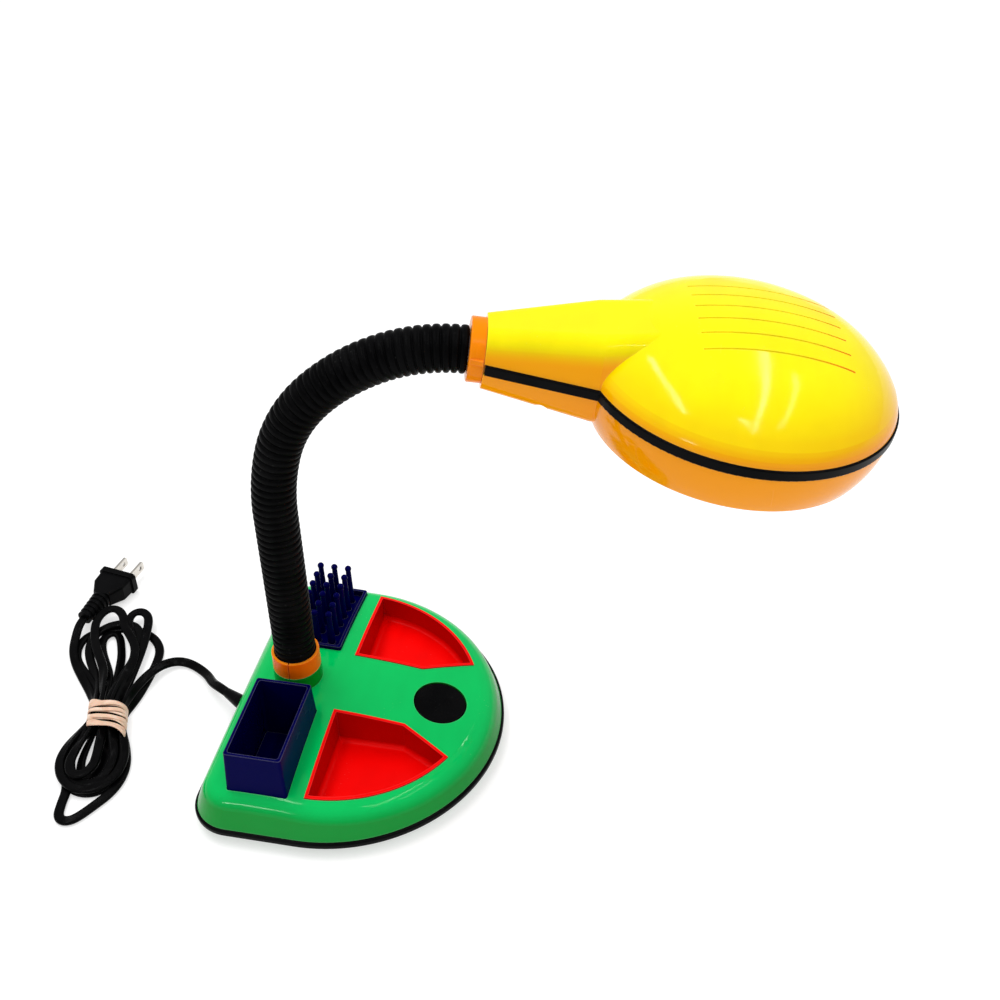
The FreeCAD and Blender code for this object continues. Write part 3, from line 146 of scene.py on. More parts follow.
# The hank's rounds in the order the cord runs, as (across, along, height, turn) from the hank's
# waist: first the rounds on top, then those that lie on the floor
hank_route = [
    (22.0, 22.8, 6.4, 20), (15.8, 12.6, 7.2, 46), (11.0, 2.5, 7.4, 66), (7.6, -8.0, 7.4, 76),
    (9.4, -19.0, 7.2, 56), (11.6, -30.0, 6.0, 22), (12.2, -42.0, 5.0, -6), (8.0, -54.0, 4.6, 8),
    (-2.0, -61.2, 4.6, -8), (-13.0, -60.0, 4.6, 8), (-21.6, -51.5, 4.6, -6), (-25.0, -39.0, 4.6, 10),
    (-22.0, -27.5, 5.2, 22), (-13.0, -16.0, 7.0, 50), (-4.6, -6.0, 8.6, 76), (-3.6, 8.0, 8.4, 64),
    (-4.6, 21.0, 7.8, 34), (-5.0, 31.0, 7.4, 12), (-8.2, 41.5, 7.3, -6), (-11.8, 52.0, 7.3, 8),
    (-13.4, 63.0, 7.3, -10), (-13.6, 75.0, 7.3, 12), (-9.0, 84.4, 7.4, -12), (-2.0, 85.6, 7.4, 10),
    (3.4, 78.5, 7.4, -12), (4.4, 68.0, 7.4, 10), (9.0, 58.5, 7.6, -8), (13.0, 48.0, 7.3, 8),
    (13.0, 37.0, 7.3, 14), (9.4, 23.0, 7.8, 36), (4.4, 8.0, 8.4, 64), (1.6, -6.0, 8.8, 76),
    (3.4, -17.0, 8.2, 60), (5.2, -28.0, 7.0, 22), (6.6, -40.0, 5.4, -8), (2.6, -52.4, 4.6, 10),
    (-5.8, -57.4, 4.6, -8), (-14.2, -54.0, 4.6, 8), (-18.6, -42.5, 4.6, -8), (-17.4, -31.0, 5.2, 20),
    (-12.4, -19.0, 6.8, 50), (-7.6, -6.0, 7.4, 76), (-8.2, 8.0, 5.6, 60), (-9.4, 22.0, 2.8, 34),
    (-12.0, 35.0, 1.8, 12), (-15.8, 46.5, 1.7, -8), (-17.4, 57.0, 1.8, 8), (-14.6, 66.0, 3.0, -10),
    (-8.0, 71.4, 4.5, 8), (0.0, 73.5, 4.5, -8), (8.0, 72.0, 4.5, 8), (13.4, 66.5, 4.5, -8),
    (15.4, 55.0, 4.4, 10), (14.6, 41.0, 4.6, -6), (11.2, 26.0, 5.6, 26), (7.2, 9.0, 7.4, 62),
    (4.6, -6.0, 8.6, 76), (-1.2, -17.0, 8.4, 58), (-2.0, -27.0, 7.6, 24), (-2.9, -37.0, 7.3, -8),
    (-4.4, -46.5, 7.3, 10), (-10.2, -52.2, 7.2, -10), (-16.8, -49.6, 7.2, 8), (-18.2, -41.0, 7.2, -12),
    (-14.8, -31.0, 7.4, 20), (-9.0, -19.0, 8.2, 54), (-1.6, -6.0, 8.8, 76), (1.0, 9.0, 8.2, 60),
    (5.6, 23.0, 6.4, 30), (11.4, 37.0, 4.8, 8), (13.4, 47.5, 4.7, -8), (10.4, 58.5, 4.7, 8),
    (7.0, 68.0, 6.6, -10), (7.4, 75.0, 7.2, 8), (10.6, 79.6, 7.3, 8), (15.4, 79.6, 7.3, -8),
    (19.0, 75.4, 7.2, 8), (19.8, 69.0, 6.9, 8), (18.9, 61.5, 6.2, 10),
    (17.8, 53.0, 5.0, -10), (15.2, 40.0, 4.8, 8), (11.6, 25.0, 4.6, 24), (7.4, 9.0, 3.6, 60),
    (4.8, -6.0, 3.1, 76), (5.6, -17.0, 3.0, 60), (7.8, -29.0, 1.9, 20), (8.6, -41.0, 1.6, -8),
    (8.2, -50.0, 1.6, 8), (2.8, -58.8, 1.6, -8), (-6.0, -61.6, 1.6, 8), (-15.4, -58.0, 1.6, -8),
    (-22.0, -48.0, 1.6, 8), (-22.8, -36.5, 1.6, -8), (-17.6, -27.0, 3.2, -10), (-9.6, -17.0, 4.6, 40),
    (-1.6, -6.0, 3.1, 76), (-2.6, 9.0, 3.0, 64), (-2.2, 22.0, 1.9, 26), (-3.0, 33.0, 1.6, -6),
    (-7.2, 46.0, 1.6, 8), (-9.4, 55.5, 1.6, -8), (-9.4, 62.5, 1.6, 8),
    (-6.4, 67.2, 1.6, 12), (-1.6, 67.6, 1.8, 20), (1.4, 63.2, 2.2, 34),
    (2.8, 56.0, 2.6, 44), (4.0, 45.0, 2.6, 44), (3.4, 34.0, 2.2, 40), (2.4, 21.0, 2.6, 50),
    (2.0, 8.0, 3.0, 66), (1.6, -6.0, 3.1, 76), (-1.6, -17.0, 3.0, 60), (0.2, -28.0, 1.9, 20),
    (0.8, -38.0, 1.6, -8), (-1.8, -46.5, 1.6, 8), (-6.6, -51.0, 1.6, -8), (-12.0, -47.8, 1.6, 8),
    (-13.0, -39.5, 1.9, 30), (-11.4, -30.0, 1.9, 36), (-8.2, -19.0, 2.6, 50), (-4.8, -6.0, 3.1, 76),
    (-7.0, 10.0, 2.9, 58), (-11.6, 24.0, 1.9, 26), (-19.0, 37.0, 1.7, 8), (-24.4, 48.5, 1.8, -8),
    (-24.0, 60.0, 1.7, 8), (-18.6, 69.0, 1.6, 10), (-9.6, 70.8, 1.6, -8), (0.4, 71.5, 1.6, 8),
    (10.0, 69.5, 1.6, -8), (18.0, 64.8, 1.6, 10), (24.6, 57.0, 1.6, -8), (27.6, 47.0, 1.6, 8),
    (25.2, 35.0, 1.6, -8), (20.8, 22.0, 1.8, 12), (15.4, 7.0, 2.6, 44), (8.0, -7.0, 3.1, 76),
    (8.8, -17.0, 3.0, 58), (11.6, -30.0, 2.0, 20), (13.0, -43.0, 1.6, 8), (10.6, -54.5, 1.6, -6),
    (4.8, -63.6, 1.6, 6), (-3.2, -70.6, 1.6, 4), (-9.4, -75.8, 1.6, 6),
    (-14.4, -78.8, 1.6, 8), (-19.2, -78.4, 1.6, 8),
    (-22.0, -74.2, 1.6, -10), (-21.0, -66.0, 1.6, 8), (-18.8, -56.0, 1.6, -8), (-21.2, -45.0, 1.6, 8),
    (-21.6, -34.0, 1.6, -8), (-16.6, -22.0, 2.2, 30), (-8.6, -8.0, 3.1, 74), (-8.8, 5.0, 3.0, 64),
    (-13.0, 18.0, 2.0, 28), (-18.8, 31.0, 1.6, 6), (-24.0, 43.0, 2.2, -6), (-26.4, 54.0, 3.6, 6),
    (-26.0, 64.0, 4.2, 0),
]
tail_route = [((-187.1, 43.5, 6.6), 0), ((-186.1, 49.6, 7.5), 0), ((-185.4, 53.5, 7.5), 0)]


def spline_line(points):
    """Points along the NURBS line of the route."""
    curve = bpy.data.curves.new("cord_route", "CURVE")
    curve.dimensions = "3D"
    spline = curve.splines.new("NURBS")
    spline.points.add(len(points) - 1)
    for point, place in zip(spline.points, points):
        point.co = (*place, 1.0)
    spline.order_u = 3
    spline.use_endpoint_u = True
    spline.resolution_u = spline_steps
    route = bpy.data.objects.new("cord_route", curve)
    mesh = bpy.data.meshes.new_from_object(route)
    line = [v.co.copy() for v in mesh.vertices]
    bpy.data.objects.remove(route)
    bpy.data.curves.remove(curve)
    bpy.data.meshes.remove(mesh)
    return line


def lead_section(twist, tangent):
    """Twin lead: two round conductors side by side with a shallow valley between them."""
    across = tangent.cross(up).normalized()
    over = across.cross(tangent).normalized()
    spread = (cord_wide - cord_thick) / 2
    section = []
    for i in range(cord_corners):
        angle = 2 * math.pi * i / cord_corners
        x = spread * max(-1.0, min(1.0, math.cos(angle) * cord_flatness)) + math.cos(angle) * cord_thick / 2
        fullness = min(1.0, abs(x) / (spread * 0.9)) ** 1.5
        y = math.sin(angle) * cord_thick / 2 * (1.0 - cord_valley + cord_valley * fullness)
        turned_x = x * math.cos(twist) - y * math.sin(twist)
        turned_y = x * math.sin(twist) + y * math.cos(twist)
        section.append((across * turned_x + over * turned_y) * mm)
    return section


def make_cord():
    """The cord along its route, lifted wherever it would touch the floor."""
    route = lead_route + [(hank_point(r, u, z), turn) for r, u, z, turn in hank_route] + tail_route
    line = spline_line(metres([place for place, turn in route]))
    turns = spline_line([(turn, 0.0, 0.0) for place, turn in route])
    rings = []
    for i, point in enumerate(line):
        tangent = (line[min(i + 1, len(line) - 1)] - line[max(i - 1, 0)]).normalized()
        twist = math.radians(turns[i].x)
        lowest = abs(math.sin(twist)) * (cord_wide - cord_thick) / 2 + cord_thick / 2 + cord_floor_gap
        centre = point + up * max(0.0, lowest * mm - point.z)
        line[i] = centre
        rings.append([centre + offset for offset in lead_section(twist, tangent)])
    return skin("mains_lead", rings), line


mains_lead, cord_line = make_cord()
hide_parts("cord_lead", "cord_hank", "cord_tail")
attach(mains_lead, "base")


# Rubber band round the hank: where each turn passes along it on the left and on the right, and how
# far it rides up over the turns below

band_turns = [
    (10.6, 2.0, 0.0), (8.0, 3.6, 0.9), (4.6, -3.6, 0.0), (3.2, -1.4, 1.0), (-0.4, -9.6, 0.0),
    (-1.8, -7.6, 0.9), (-3.6, -14.2, 0.0), (-5.6, -16.0, 0.7),
]
band_wide = 3.1
band_thick = 1.0
band_half = 11.2
band_across = 0.5
band_along = -9.2
band_low = 1.1
band_high = 12.2
band_slack = 0.35
band_curl = 0.25
band_steps = 56
band_half_steps = band_steps / 2
band_corners = 12


def squared(value, power):
    """Sine or cosine made squarer, for a rounded box in place of a circle."""
    return math.copysign(abs(value) ** power, value)


def band_line():
    """Centre line of the strand, in metres, one turn after the other."""
    points = []
    middle = (band_low + band_high) / 2
    tall = (band_high - band_low) / 2
    for turn, (left, right, lift) in enumerate(band_turns):
        following = band_turns[min(turn + 1, len(band_turns) - 1)][0]
        for i in range(band_steps):
            angle = math.radians(180.0 - 360.0 * i / band_steps)
            across = squared(math.cos(angle), 0.8) * band_half
            height = squared(math.sin(angle), 0.72) * tall
            ride = 0.0
            if i <= band_half_steps:
                along = left + (right - left) * smooth_step(i / band_half_steps)
                if 0 < i < band_half_steps:
                    ride = lift * math.sin(math.pi * i / band_half_steps) ** 0.7
            else:
                along = right + (following - right) * smooth_step((i - band_half_steps) / band_half_steps)
            slack = band_slack * math.sin(turn * 2.1 + i * 0.35)
            points.append(hank_point(band_across + across + 0.2 * slack, band_along + along + slack,
                                     middle + height + ride) * mm)
    return points


def make_band():
    """Flat rubber strand wound round the waist, crossing itself on top."""
    points = band_line()
    centre = hank_point(band_across, band_along, (band_low + band_high) / 2) * mm
    rings = []
    for i, point in enumerate(points):
        tangent = (points[min(i + 1, len(points) - 1)] - points[max(i - 1, 0)]).normalized()
        outward = point - centre
        outward -= hank_up * outward.dot(hank_up)
        outward = (outward - tangent * outward.dot(tangent)).normalized()
        side = tangent.cross(outward).normalized()
        turn = i // band_steps
        wide = band_wide * (1.0 + 0.22 * math.sin(turn * 1.7 + 0.6) + 0.10 * math.sin(i * 0.21))
        curl = band_curl * math.sin(i * 0.13 + turn)
        ring = []
        for k in range(band_corners):
            angle = 2 * math.pi * k / band_corners
            x = math.cos(angle) * wide / 2
            y = squared(math.sin(angle), 0.8) * band_thick / 2 + curl * (x / wide) ** 2 * 2
            ring.append(point + (side * x + outward * y) * mm)
        rings.append(ring)
    return skin("rubber_band", rings)


rubber_band = make_band()
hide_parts("hank_tie")
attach(rubber_band, "base")


# Gooseneck: the ribbed sleeve runs on across the joints between the links

neck_x = -24.0
neck_yaw = math.radians(11.6)
hose_start = 37.6
hose_straight = 118.6
hose_arc = 40.8
hose_bends = (16.5, 31.2, 23.6, 27.0)
hose_length = hose_straight + hose_arc * len(hose_bends)
link_count = 11
link_length = hose_length / link_count
rib_count = 68
rib_steps = 12
rib_outer = 11.75
rib_groove = 10.5
rib_share = 0.86
rib_shoulder = 2.6
rib_crown = 2.2
hose_corners = 56
tip_gap = 0.2
neck_ahead = Vector((math.cos(neck_yaw), math.sin(neck_yaw), 0))
neck_side = Vector((-math.sin(neck_yaw), math.cos(neck_yaw), 0))


def neck_station(distance):
    """Point and lean of the gooseneck's centre line, as in the solid."""
    if distance <= hose_straight:
        return Vector((neck_x, 0, hose_start + distance)), 0.0
    out, z, lean = 0.0, hose_start + hose_straight, 0.0
    left = distance - hose_straight
    for bend in hose_bends:
        rate = math.radians(bend) / hose_arc
        step = min(left, hose_arc)
        out += (math.cos(lean) - math.cos(lean + rate * step)) / rate
        z += (math.sin(lean + rate * step) - math.sin(lean)) / rate
        lean += rate * step
        left -= step
        if left <= 0:
            break
    return Vector((neck_x, 0, 0)) + neck_ahead * out + up * z, lean


def rib_radius(distance):
    """Rounded ribs with a narrow groove between them."""
    phase = (distance / hose_length * rib_count) % 1.0
    x = min(1.0, abs(phase - 0.5) * 2 / rib_share)
    return rib_groove + (rib_outer - rib_groove) * (1 - x ** rib_shoulder) ** (1 / rib_crown)


def make_hose_stretch(name, start, stop):
    steps = round((stop - start) / hose_length * rib_count * rib_steps)
    rings = []
    for i in range(steps + 1):
        distance = start + (stop - start) * i / steps
        point, lean = neck_station(distance)
        out = neck_ahead * math.cos(lean) - up * math.sin(lean)
        radius = rib_radius(distance)
        ring = []
        for k in range(hose_corners):
            angle = 2 * math.pi * k / hose_corners
            ring.append((point + (out * math.cos(angle) + neck_side * math.sin(angle)) * radius) * mm)
        rings.append(ring)
    stretch = skin(name, rings, closed_ends=False)
    return stretch


def make_hose():
    stretches = []
    foot = make_hose_stretch("hose_foot", 0.0, link_length / 2)
    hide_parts("hose_sleeve_01")
    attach(foot, "base")
    stretches.append(foot)
    for number in range(1, link_count):
        start = (number - 0.5) * link_length
        stretch = make_hose_stretch(f"hose_bend_{number:02d}", start, start + link_length)
        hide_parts(f"hose_sleeve_{number + 1:02d}")
        neck_station(start)[0] * mm
        neck_station(start + link_length)[0] * mm
        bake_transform(stretch)
        stretches.append(stretch)
    tip = make_hose_stretch("hose_tip", hose_length - link_length / 2, hose_length - tip_gap)
    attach(tip, "head")
    stretches.append(tip)
    return stretches


hose = make_hose()


# Finishes

class Shade:
    """A value that varies over a surface, with arithmetic."""

    def __init__(self, finish, socket):
        self.finish = finish
        self.socket = socket

    def _math(self, operation, a, b):
        return self.finish.node("ShaderNodeMath", {"operation": operation}, {0: a, 1: b})

    def __add__(self, other):
        return self._math("ADD", self, other)

    def __sub__(self, other):
        return self._math("SUBTRACT", self, other)

    def __rsub__(self, other):
        return self._math("SUBTRACT", other, self)

    def __mul__(self, other):
        return self._math("MULTIPLY", self, other)

    __radd__ = __add__


class Finish:
    """One material and the nodes that feed its surface."""

    def __init__(self, name, steady):
        self.material = bpy.data.materials.new(name)
        self.material.use_nodes = True
        self.tree = self.material.node_tree
        self.surface = self.tree.nodes["Principled BSDF"]
        for socket, value in steady.items():
            self.surface.inputs[socket].default_value = value
        self.place = self.node("ShaderNodeTexCoord", {}, {}, "Object")

    def feed(self, socket, value):
        if isinstance(value, Shade):
            self.tree.links.new(value.socket, socket)
        elif isinstance(value, tuple) and len(value) == 3 and socket.type == "RGBA":
            socket.default_value = (*value, 1.0)
        else:
            socket.default_value = value

    def node(self, kind, settings, sockets, out=0):
        made = self.tree.nodes.new(kind)
        for name, value in settings.items():
            setattr(made, name, value)
        for name, value in sockets.items():
            self.feed(made.inputs[name], value)
        return Shade(self, made.outputs[out])

    def give(self, **sockets):
        """Values for the surface, with _ for each space in a socket name."""
        for name, value in sockets.items():
            self.feed(self.surface.inputs[name.replace("_", " ")], value)

    def stretched(self, x, y, z):
        return self.node("ShaderNodeVectorMath", {"operation": "MULTIPLY"}, {0: self.place, 1: (x, y, z)})

    def noise(self, scale, detail=2.0, place=None):
        return self.node("ShaderNodeTexNoise", {}, {"Vector": place or self.place, "Scale": scale,
                                                    "Detail": detail, "Roughness": 0.55}, "Fac")

    def cells(self, scale):
        return self.node("ShaderNodeTexVoronoi", {}, {"Vector": self.place, "Scale": scale}, "Distance")

    def rise(self, value, low, high):
        """0 below low, 1 above high, eased between them; falls where low is the higher."""
        return self.node("ShaderNodeMapRange", {"interpolation_type": "SMOOTHSTEP"},
                         {"Value": value, "From Min": low, "From Max": high, "To Min": 0.0, "To Max": 1.0})

    def blend(self, share, a, b):
        return self.node("ShaderNodeMix", {"data_type": "RGBA"}, {0: share, 6: a, 7: b}, 2)

    def facing(self, way):
        """How far the surface turns to a direction of the piece, from -1 to 1."""
        normal = self.node("ShaderNodeTexCoord", {}, {}, "Normal")
        return self.node("ShaderNodeVectorMath", {"operation": "DOT_PRODUCT"}, {0: normal, 1: way}, "Value")

    def level(self):
        """Height over the floor, in metres, with the lamp at rest."""
        return self.node("ShaderNodeSeparateXYZ", {}, {"Vector": self.place}, "Z")

    def edges(self, radius):
        """1 on corners and rims that hands rub."""
        rounded = self.node("ShaderNodeBevel", {"samples": 4}, {"Radius": radius})
        flat = self.node("ShaderNodeNewGeometry", {}, {}, "Normal")
        same = self.node("ShaderNodeVectorMath", {"operation": "DOT_PRODUCT"}, {0: rounded, 1: flat}, "Value")
        return self.rise(same, 0.995, 0.86)

    def bump(self, height, strength, depth):
        return self.node("ShaderNodeBump", {}, {"Height": height, "Strength": strength, "Distance": depth})

    def scratches(self):
        """Thin stray lines from handling, in two directions."""
        first = self.noise(1.0, 3.0, self.stretched(420.0, 21.0, 21.0))
        second = self.noise(1.0, 3.0, self.stretched(21.0, 420.0, 14.0))
        patch = self.rise(self.noise(26.0, 2.0), 0.5, 0.72)
        lines = self.rise(first, 0.66, 0.70) + self.rise(second, 0.67, 0.71)
        return lines * patch

    def dust(self, amount):
        """Fine specks on faces that look up."""
        specks = self.rise(self.cells(420.0), 0.16, 0.05)
        sparse = self.rise(self.noise(55.0, 2.0), 0.52, 0.74)
        return specks * sparse * self.rise(self.facing(up), 0.25, 0.8) * amount


plastic_index = 1.5


def lighter(colour, share):
    return tuple(c + (1.0 - c) * share for c in colour)


def darker(colour, share):
    return tuple(c * (1.0 - share) for c in colour)


def moulded(name, colour, rough, shine, side=None, steep=0.95, upright=-0.1, below=10.0,
            wear=0.2, dust=0.2, peel=0.14):
    """Glossy injection-moulded plastic: slow flow marks, rubbed edges, stray scratches and dust.

    Faces below a level take the side colour, which is painted shade for the walls and lower faces that get
    less light.
    It starts where they look up less than steep, and is full where they look up less than upright.
    """
    finish = Finish(name, {"IOR": plastic_index, "Specular IOR Level": shine})
    cloud = finish.noise(22.0, 3.0)
    flow = finish.noise(1.0, 2.0, finish.stretched(70.0, 18.0, 30.0))
    base = finish.blend(finish.rise(cloud * 0.6 + flow * 0.4, 0.32, 0.68), darker(colour, 0.10), colour)
    # Painted shade: walls and lower faces take the darker side colour in place of the plastic's own.
    if side:
        painted_shade_mask = finish.rise(finish.facing(up), steep, upright)
        base = finish.blend(painted_shade_mask * finish.rise(finish.level(), below + 0.01, below), base, side)
    edge = finish.edges(0.0009)
    base = finish.blend(edge * wear, base, lighter(colour, 0.28))
    specks = finish.dust(dust)
    base = finish.blend(specks, base, lighter(colour, 0.55))
    smudges = finish.rise(finish.noise(38.0, 4.0), 0.45, 0.75)
    scratched = finish.scratches()
    marks = smudges * 0.07 + scratched * 0.22 + edge * 0.08 + specks * 0.4
    finish.give(Base_Color=base, Roughness=rough + marks)
    skin_grain = finish.noise(320.0, 3.0)
    sink = finish.noise(36.0, 1.0)
    height = skin_grain * 0.35 + sink * 0.65 - scratched * 0.4
    finish.give(Normal=finish.bump(height, peel, 0.00035))
    return finish.material


def hose_vinyl():
    finish = Finish("black_hose_vinyl", {"IOR": plastic_index, "Specular IOR Level": 0.03})
    grain = finish.noise(900.0, 3.0)
    patches = finish.noise(60.0, 3.0)
    lint = finish.rise(finish.cells(300.0), 0.20, 0.06) * finish.rise(patches, 0.5, 0.7)
    base = finish.blend(finish.rise(patches, 0.35, 0.7), (0.001, 0.001, 0.0012), (0.003, 0.003, 0.0033))
    finish.give(Base_Color=finish.blend(lint * 0.4, base, (0.06, 0.06, 0.058)),
                Roughness=0.30 + patches * 0.16 + grain * 0.05,
                Normal=finish.bump(grain, 0.12, 0.00012))
    return finish.material


def lead_vinyl():
    """Soft black cord vinyl: extrusion lines, kink marks and scuffs."""
    finish = Finish("black_lead_vinyl", {"IOR": plastic_index, "Specular IOR Level": 0.06})
    lines = finish.noise(1.0, 2.0, finish.stretched(260.0, 260.0, 1400.0))
    patches = finish.noise(75.0, 4.0)
    scuff = finish.rise(finish.noise(240.0, 4.0), 0.62, 0.72) * finish.rise(patches, 0.5, 0.65)
    base = finish.blend(finish.rise(patches, 0.3, 0.7), (0.0008, 0.0008, 0.001), (0.002, 0.002, 0.0022))
    finish.give(Base_Color=finish.blend(scuff * 0.4, base, (0.03, 0.03, 0.03)),
                Roughness=0.20 + patches * 0.14 + scuff * 0.2,
                Normal=finish.bump(lines * 0.5 + patches * 0.5, 0.15, 0.00025))
    return finish.material


def soft_black(name, rough, shine):
    """Black trim and moulded rubber: faint grain and rubbed high spots."""
    finish = Finish(name, {"IOR": plastic_index, "Specular IOR Level": shine})
    grain = finish.noise(620.0, 3.0)
    patches = finish.noise(48.0, 3.0)
    edge = finish.edges(0.0007)
    base = finish.blend(finish.rise(patches, 0.3, 0.7), (0.0012, 0.0012, 0.0015), (0.003, 0.003, 0.0034))
    base = finish.blend(edge * 0.3, base, (0.02, 0.02, 0.021))
    specks = finish.dust(0.3)
    finish.give(Base_Color=finish.blend(specks, base, (0.12, 0.12, 0.115)),
                Roughness=rough + patches * 0.12 + edge * 0.1 + specks * 0.4,
                Normal=finish.bump(grain * 0.6 + finish.scratches() * 0.6, 0.12, 0.0002))
    return finish.material


def band_rubber():
    """Natural rubber band: pale, a little translucent, dusty along its stretched strands."""
    finish = Finish("tan_band_rubber", {"IOR": 1.45, "Subsurface Weight": 0.15, "Subsurface Scale": 0.002})
    streaks = finish.noise(1.0, 3.0, finish.stretched(140.0, 900.0, 300.0))
    patches = finish.noise(160.0, 3.0)
    base = finish.blend(finish.rise(streaks, 0.25, 0.75), (0.72, 0.44, 0.30), (0.86, 0.60, 0.45))
    base = finish.blend(finish.rise(patches, 0.45, 0.8) * 0.7, base, (0.95, 0.80, 0.68))
    finish.give(Base_Color=base, Roughness=0.42 + patches * 0.2,
                Normal=finish.bump(streaks * 0.6 + patches * 0.4, 0.3, 0.0003))
    return finish.material


def bright_metal(name, colour, rough=0.22, brush=(40.0, 40.0, 1500.0), tarnish=0.35):
    """Plated or bare metal: brush lines and tarnish."""
    finish = Finish(name, {"IOR": 2.2})
    lines = finish.noise(1.0, 3.0, finish.stretched(*brush))
    patches = finish.noise(130.0, 4.0)
    dull = finish.rise(patches, 0.48, 0.72) * tarnish
    base = finish.blend(lines, darker(colour, 0.18), colour)
    finish.give(Base_Color=finish.blend(dull, base, darker(colour, 0.55)), Metallic=1.0 - dull * 0.35,
                Roughness=rough + lines * 0.12 + dull * 0.35,
                Normal=finish.bump(lines, 0.1, 0.0001))
    return finish.material


def cast_iron():
    finish = Finish("cast_ballast_iron", {"IOR": 1.8})
    sand = finish.noise(700.0, 4.0)
    rust = finish.rise(finish.noise(55.0, 5.0), 0.56, 0.70)
    base = finish.blend(sand, (0.045, 0.045, 0.047), (0.10, 0.10, 0.10))
    finish.give(Base_Color=finish.blend(rust, base, (0.17, 0.06, 0.025)), Metallic=0.75 - rust * 0.7,
                Roughness=0.55 + rust * 0.3, Normal=finish.bump(sand, 0.5, 0.0005))
    return finish.material


def foam_rubber():
    finish = Finish("dark_foam_foot", {"IOR": 1.4})
    pores = finish.cells(900.0)
    base = finish.blend(finish.rise(pores, 0.1, 0.5), (0.012, 0.012, 0.013), (0.045, 0.045, 0.046))
    finish.give(Base_Color=base, Roughness=0.86 + pores * 0.1, Normal=finish.bump(pores, 0.7, 0.0006))
    return finish.material


def frosted_bulb():
    finish = Finish("frosted_bulb_glass", {"IOR": plastic_index, "Transmission Weight": 0.35,
                                           "Subsurface Weight": 0.2, "Subsurface Scale": 0.003})
    frost = finish.noise(800.0, 2.0)
    haze = finish.noise(40.0, 3.0)
    base = finish.blend(finish.rise(haze, 0.35, 0.7), (0.86, 0.86, 0.84), (0.95, 0.95, 0.94))
    finish.give(Base_Color=base, Roughness=0.34 + frost * 0.12, Normal=finish.bump(frost, 0.06, 0.0001))
    return finish.material


def porcelain():
    finish = Finish("cream_socket_plastic", {"IOR": plastic_index, "Coat Weight": 0.2})
    clouds = finish.noise(60.0, 4.0)
    warm = finish.rise(finish.noise(30.0, 3.0), 0.5, 0.75)
    base = finish.blend(clouds, (0.62, 0.58, 0.50), (0.74, 0.70, 0.62))
    finish.give(Base_Color=finish.blend(warm * 0.4, base, (0.45, 0.36, 0.24)), Roughness=0.36 + clouds * 0.14,
                Normal=finish.bump(finish.noise(400.0, 3.0), 0.12, 0.0003))
    return finish.material


# Painted shade: below the trim band the head's walls and underside turn orange in place of yellow.
yellow = moulded("yellow_head_plastic", (1.0, 0.86, 0.0), rough=0.09, shine=0.18, side=(1.0, 0.35, 0.0),
                 upright=0.1, below=0.258, wear=0.1, peel=0.08)
# Painted shade: the base's walls and lower faces take a dark green.
green = moulded("green_base_plastic", (0.0, 0.58, 0.12), rough=0.08, shine=0.18, side=(0.0, 0.23, 0.01),
                steep=0.88, upright=0.1, peel=0.1)
navy = moulded("navy_tidy_plastic", (0.0, 0.0, 0.06), rough=0.24, shine=0.02, wear=0.25, dust=0.1)
# Painted shade: the trays' walls take a dark red.
red = moulded("red_tray_plastic", (1.0, 0.0, 0.0), rough=0.34, shine=0.07, side=(0.5, 0.0, 0.0), wear=0.1)
# Painted shade: the walls of the base collars take a redder, darker orange.
orange = moulded("orange_collar_plastic", (1.0, 0.27, 0.0), rough=0.2, shine=0.12, side=(1.0, 0.15, 0.0),
                 upright=0.3, below=0.1, wear=0.12)
hose_black = hose_vinyl()
lead_black = lead_vinyl()
trim_black = soft_black("black_trim_rubber", 0.24, 0.05)
plug_black = soft_black("black_plug_vinyl", 0.28, 0.045)
button_black = soft_black("black_button_plastic", 0.17, 0.04)
band_tan = band_rubber()
steel = bright_metal("zinc_plated_steel", (0.62, 0.62, 0.64))
reflector_silver = bright_metal("spun_reflector_aluminium", (0.88, 0.88, 0.89), 0.14, (900.0, 20.0, 20.0),
                                0.12)
blade_nickel = bright_metal("nickel_blades", (0.80, 0.76, 0.70), 0.24, (60.0, 60.0, 900.0), 0.3)
cap_brass = bright_metal("bulb_cap_brass", (0.82, 0.66, 0.36), 0.2, (1200.0, 30.0, 30.0), 0.3)
iron = cast_iron()
foam = foam_rubber()
glass = frosted_bulb()
cream = porcelain()

finishes = {
    green: ["base_shell", "base_pan"],
    trim_black: ["base_trim_band", "head_trim_band"],
    navy: ["pen_box", "peg_rack"],
    red: ["tray_far", "tray_near"],
    orange: ["base_collar_front", "base_collar_rear", "head_collar"],
    yellow: ["head_upper_shell", "head_lower_shell"],
    button_black: ["push_button", "switch_body"],
    plug_black: ["cord_bushing", "plug_body"],
    blade_nickel: ["plug_blades"],
    steel: ["neck_washer", "neck_nut", "head_nut", "base_screws", "head_screws", "socket_bracket",
            *(f"hose_conduit_{n:02d}" for n in range(1, link_count + 1))],
    reflector_silver: ["reflector"],
    cap_brass: ["bulb_cap"],
    glass: ["bulb_glass"],
    iron: ["ballast_plate"],
    foam: ["foam_foot"],
    cream: ["lamp_socket"],
    lead_black: ["inner_lead", "neck_lead", "cord_lead", "cord_hank", "cord_tail"],
    band_tan: ["hank_tie"],
    hose_black: [f"hose_sleeve_{n:02d}" for n in range(1, link_count + 1)],
}


def dress(piece, material):
    if not piece.material_slots:
        piece.data.materials.append(material)
    for slot in piece.material_slots:
        slot.material = material


for material, names in finishes.items():
    for name in names:
        dress(nodes[name], material)
dress(mains_lead, lead_black)
dress(rubber_band, band_tan)
for stretch in hose:
    dress(stretch, hose_black)


# Floor, background and lamps. The floor shows as white, and its shadows stay.

floor_half = 6.0
floor_drop = 0.0002
floor_glow = 1.3
floor_glow_seen = 0.45
floor_glow_mirrored = 0.2
room_glow = 0.46
room_glow_seen = 1.0
sky_watts = 1.2
sky_spread = 40.0
sky_way = (-0.4, 0.5, 1.6)

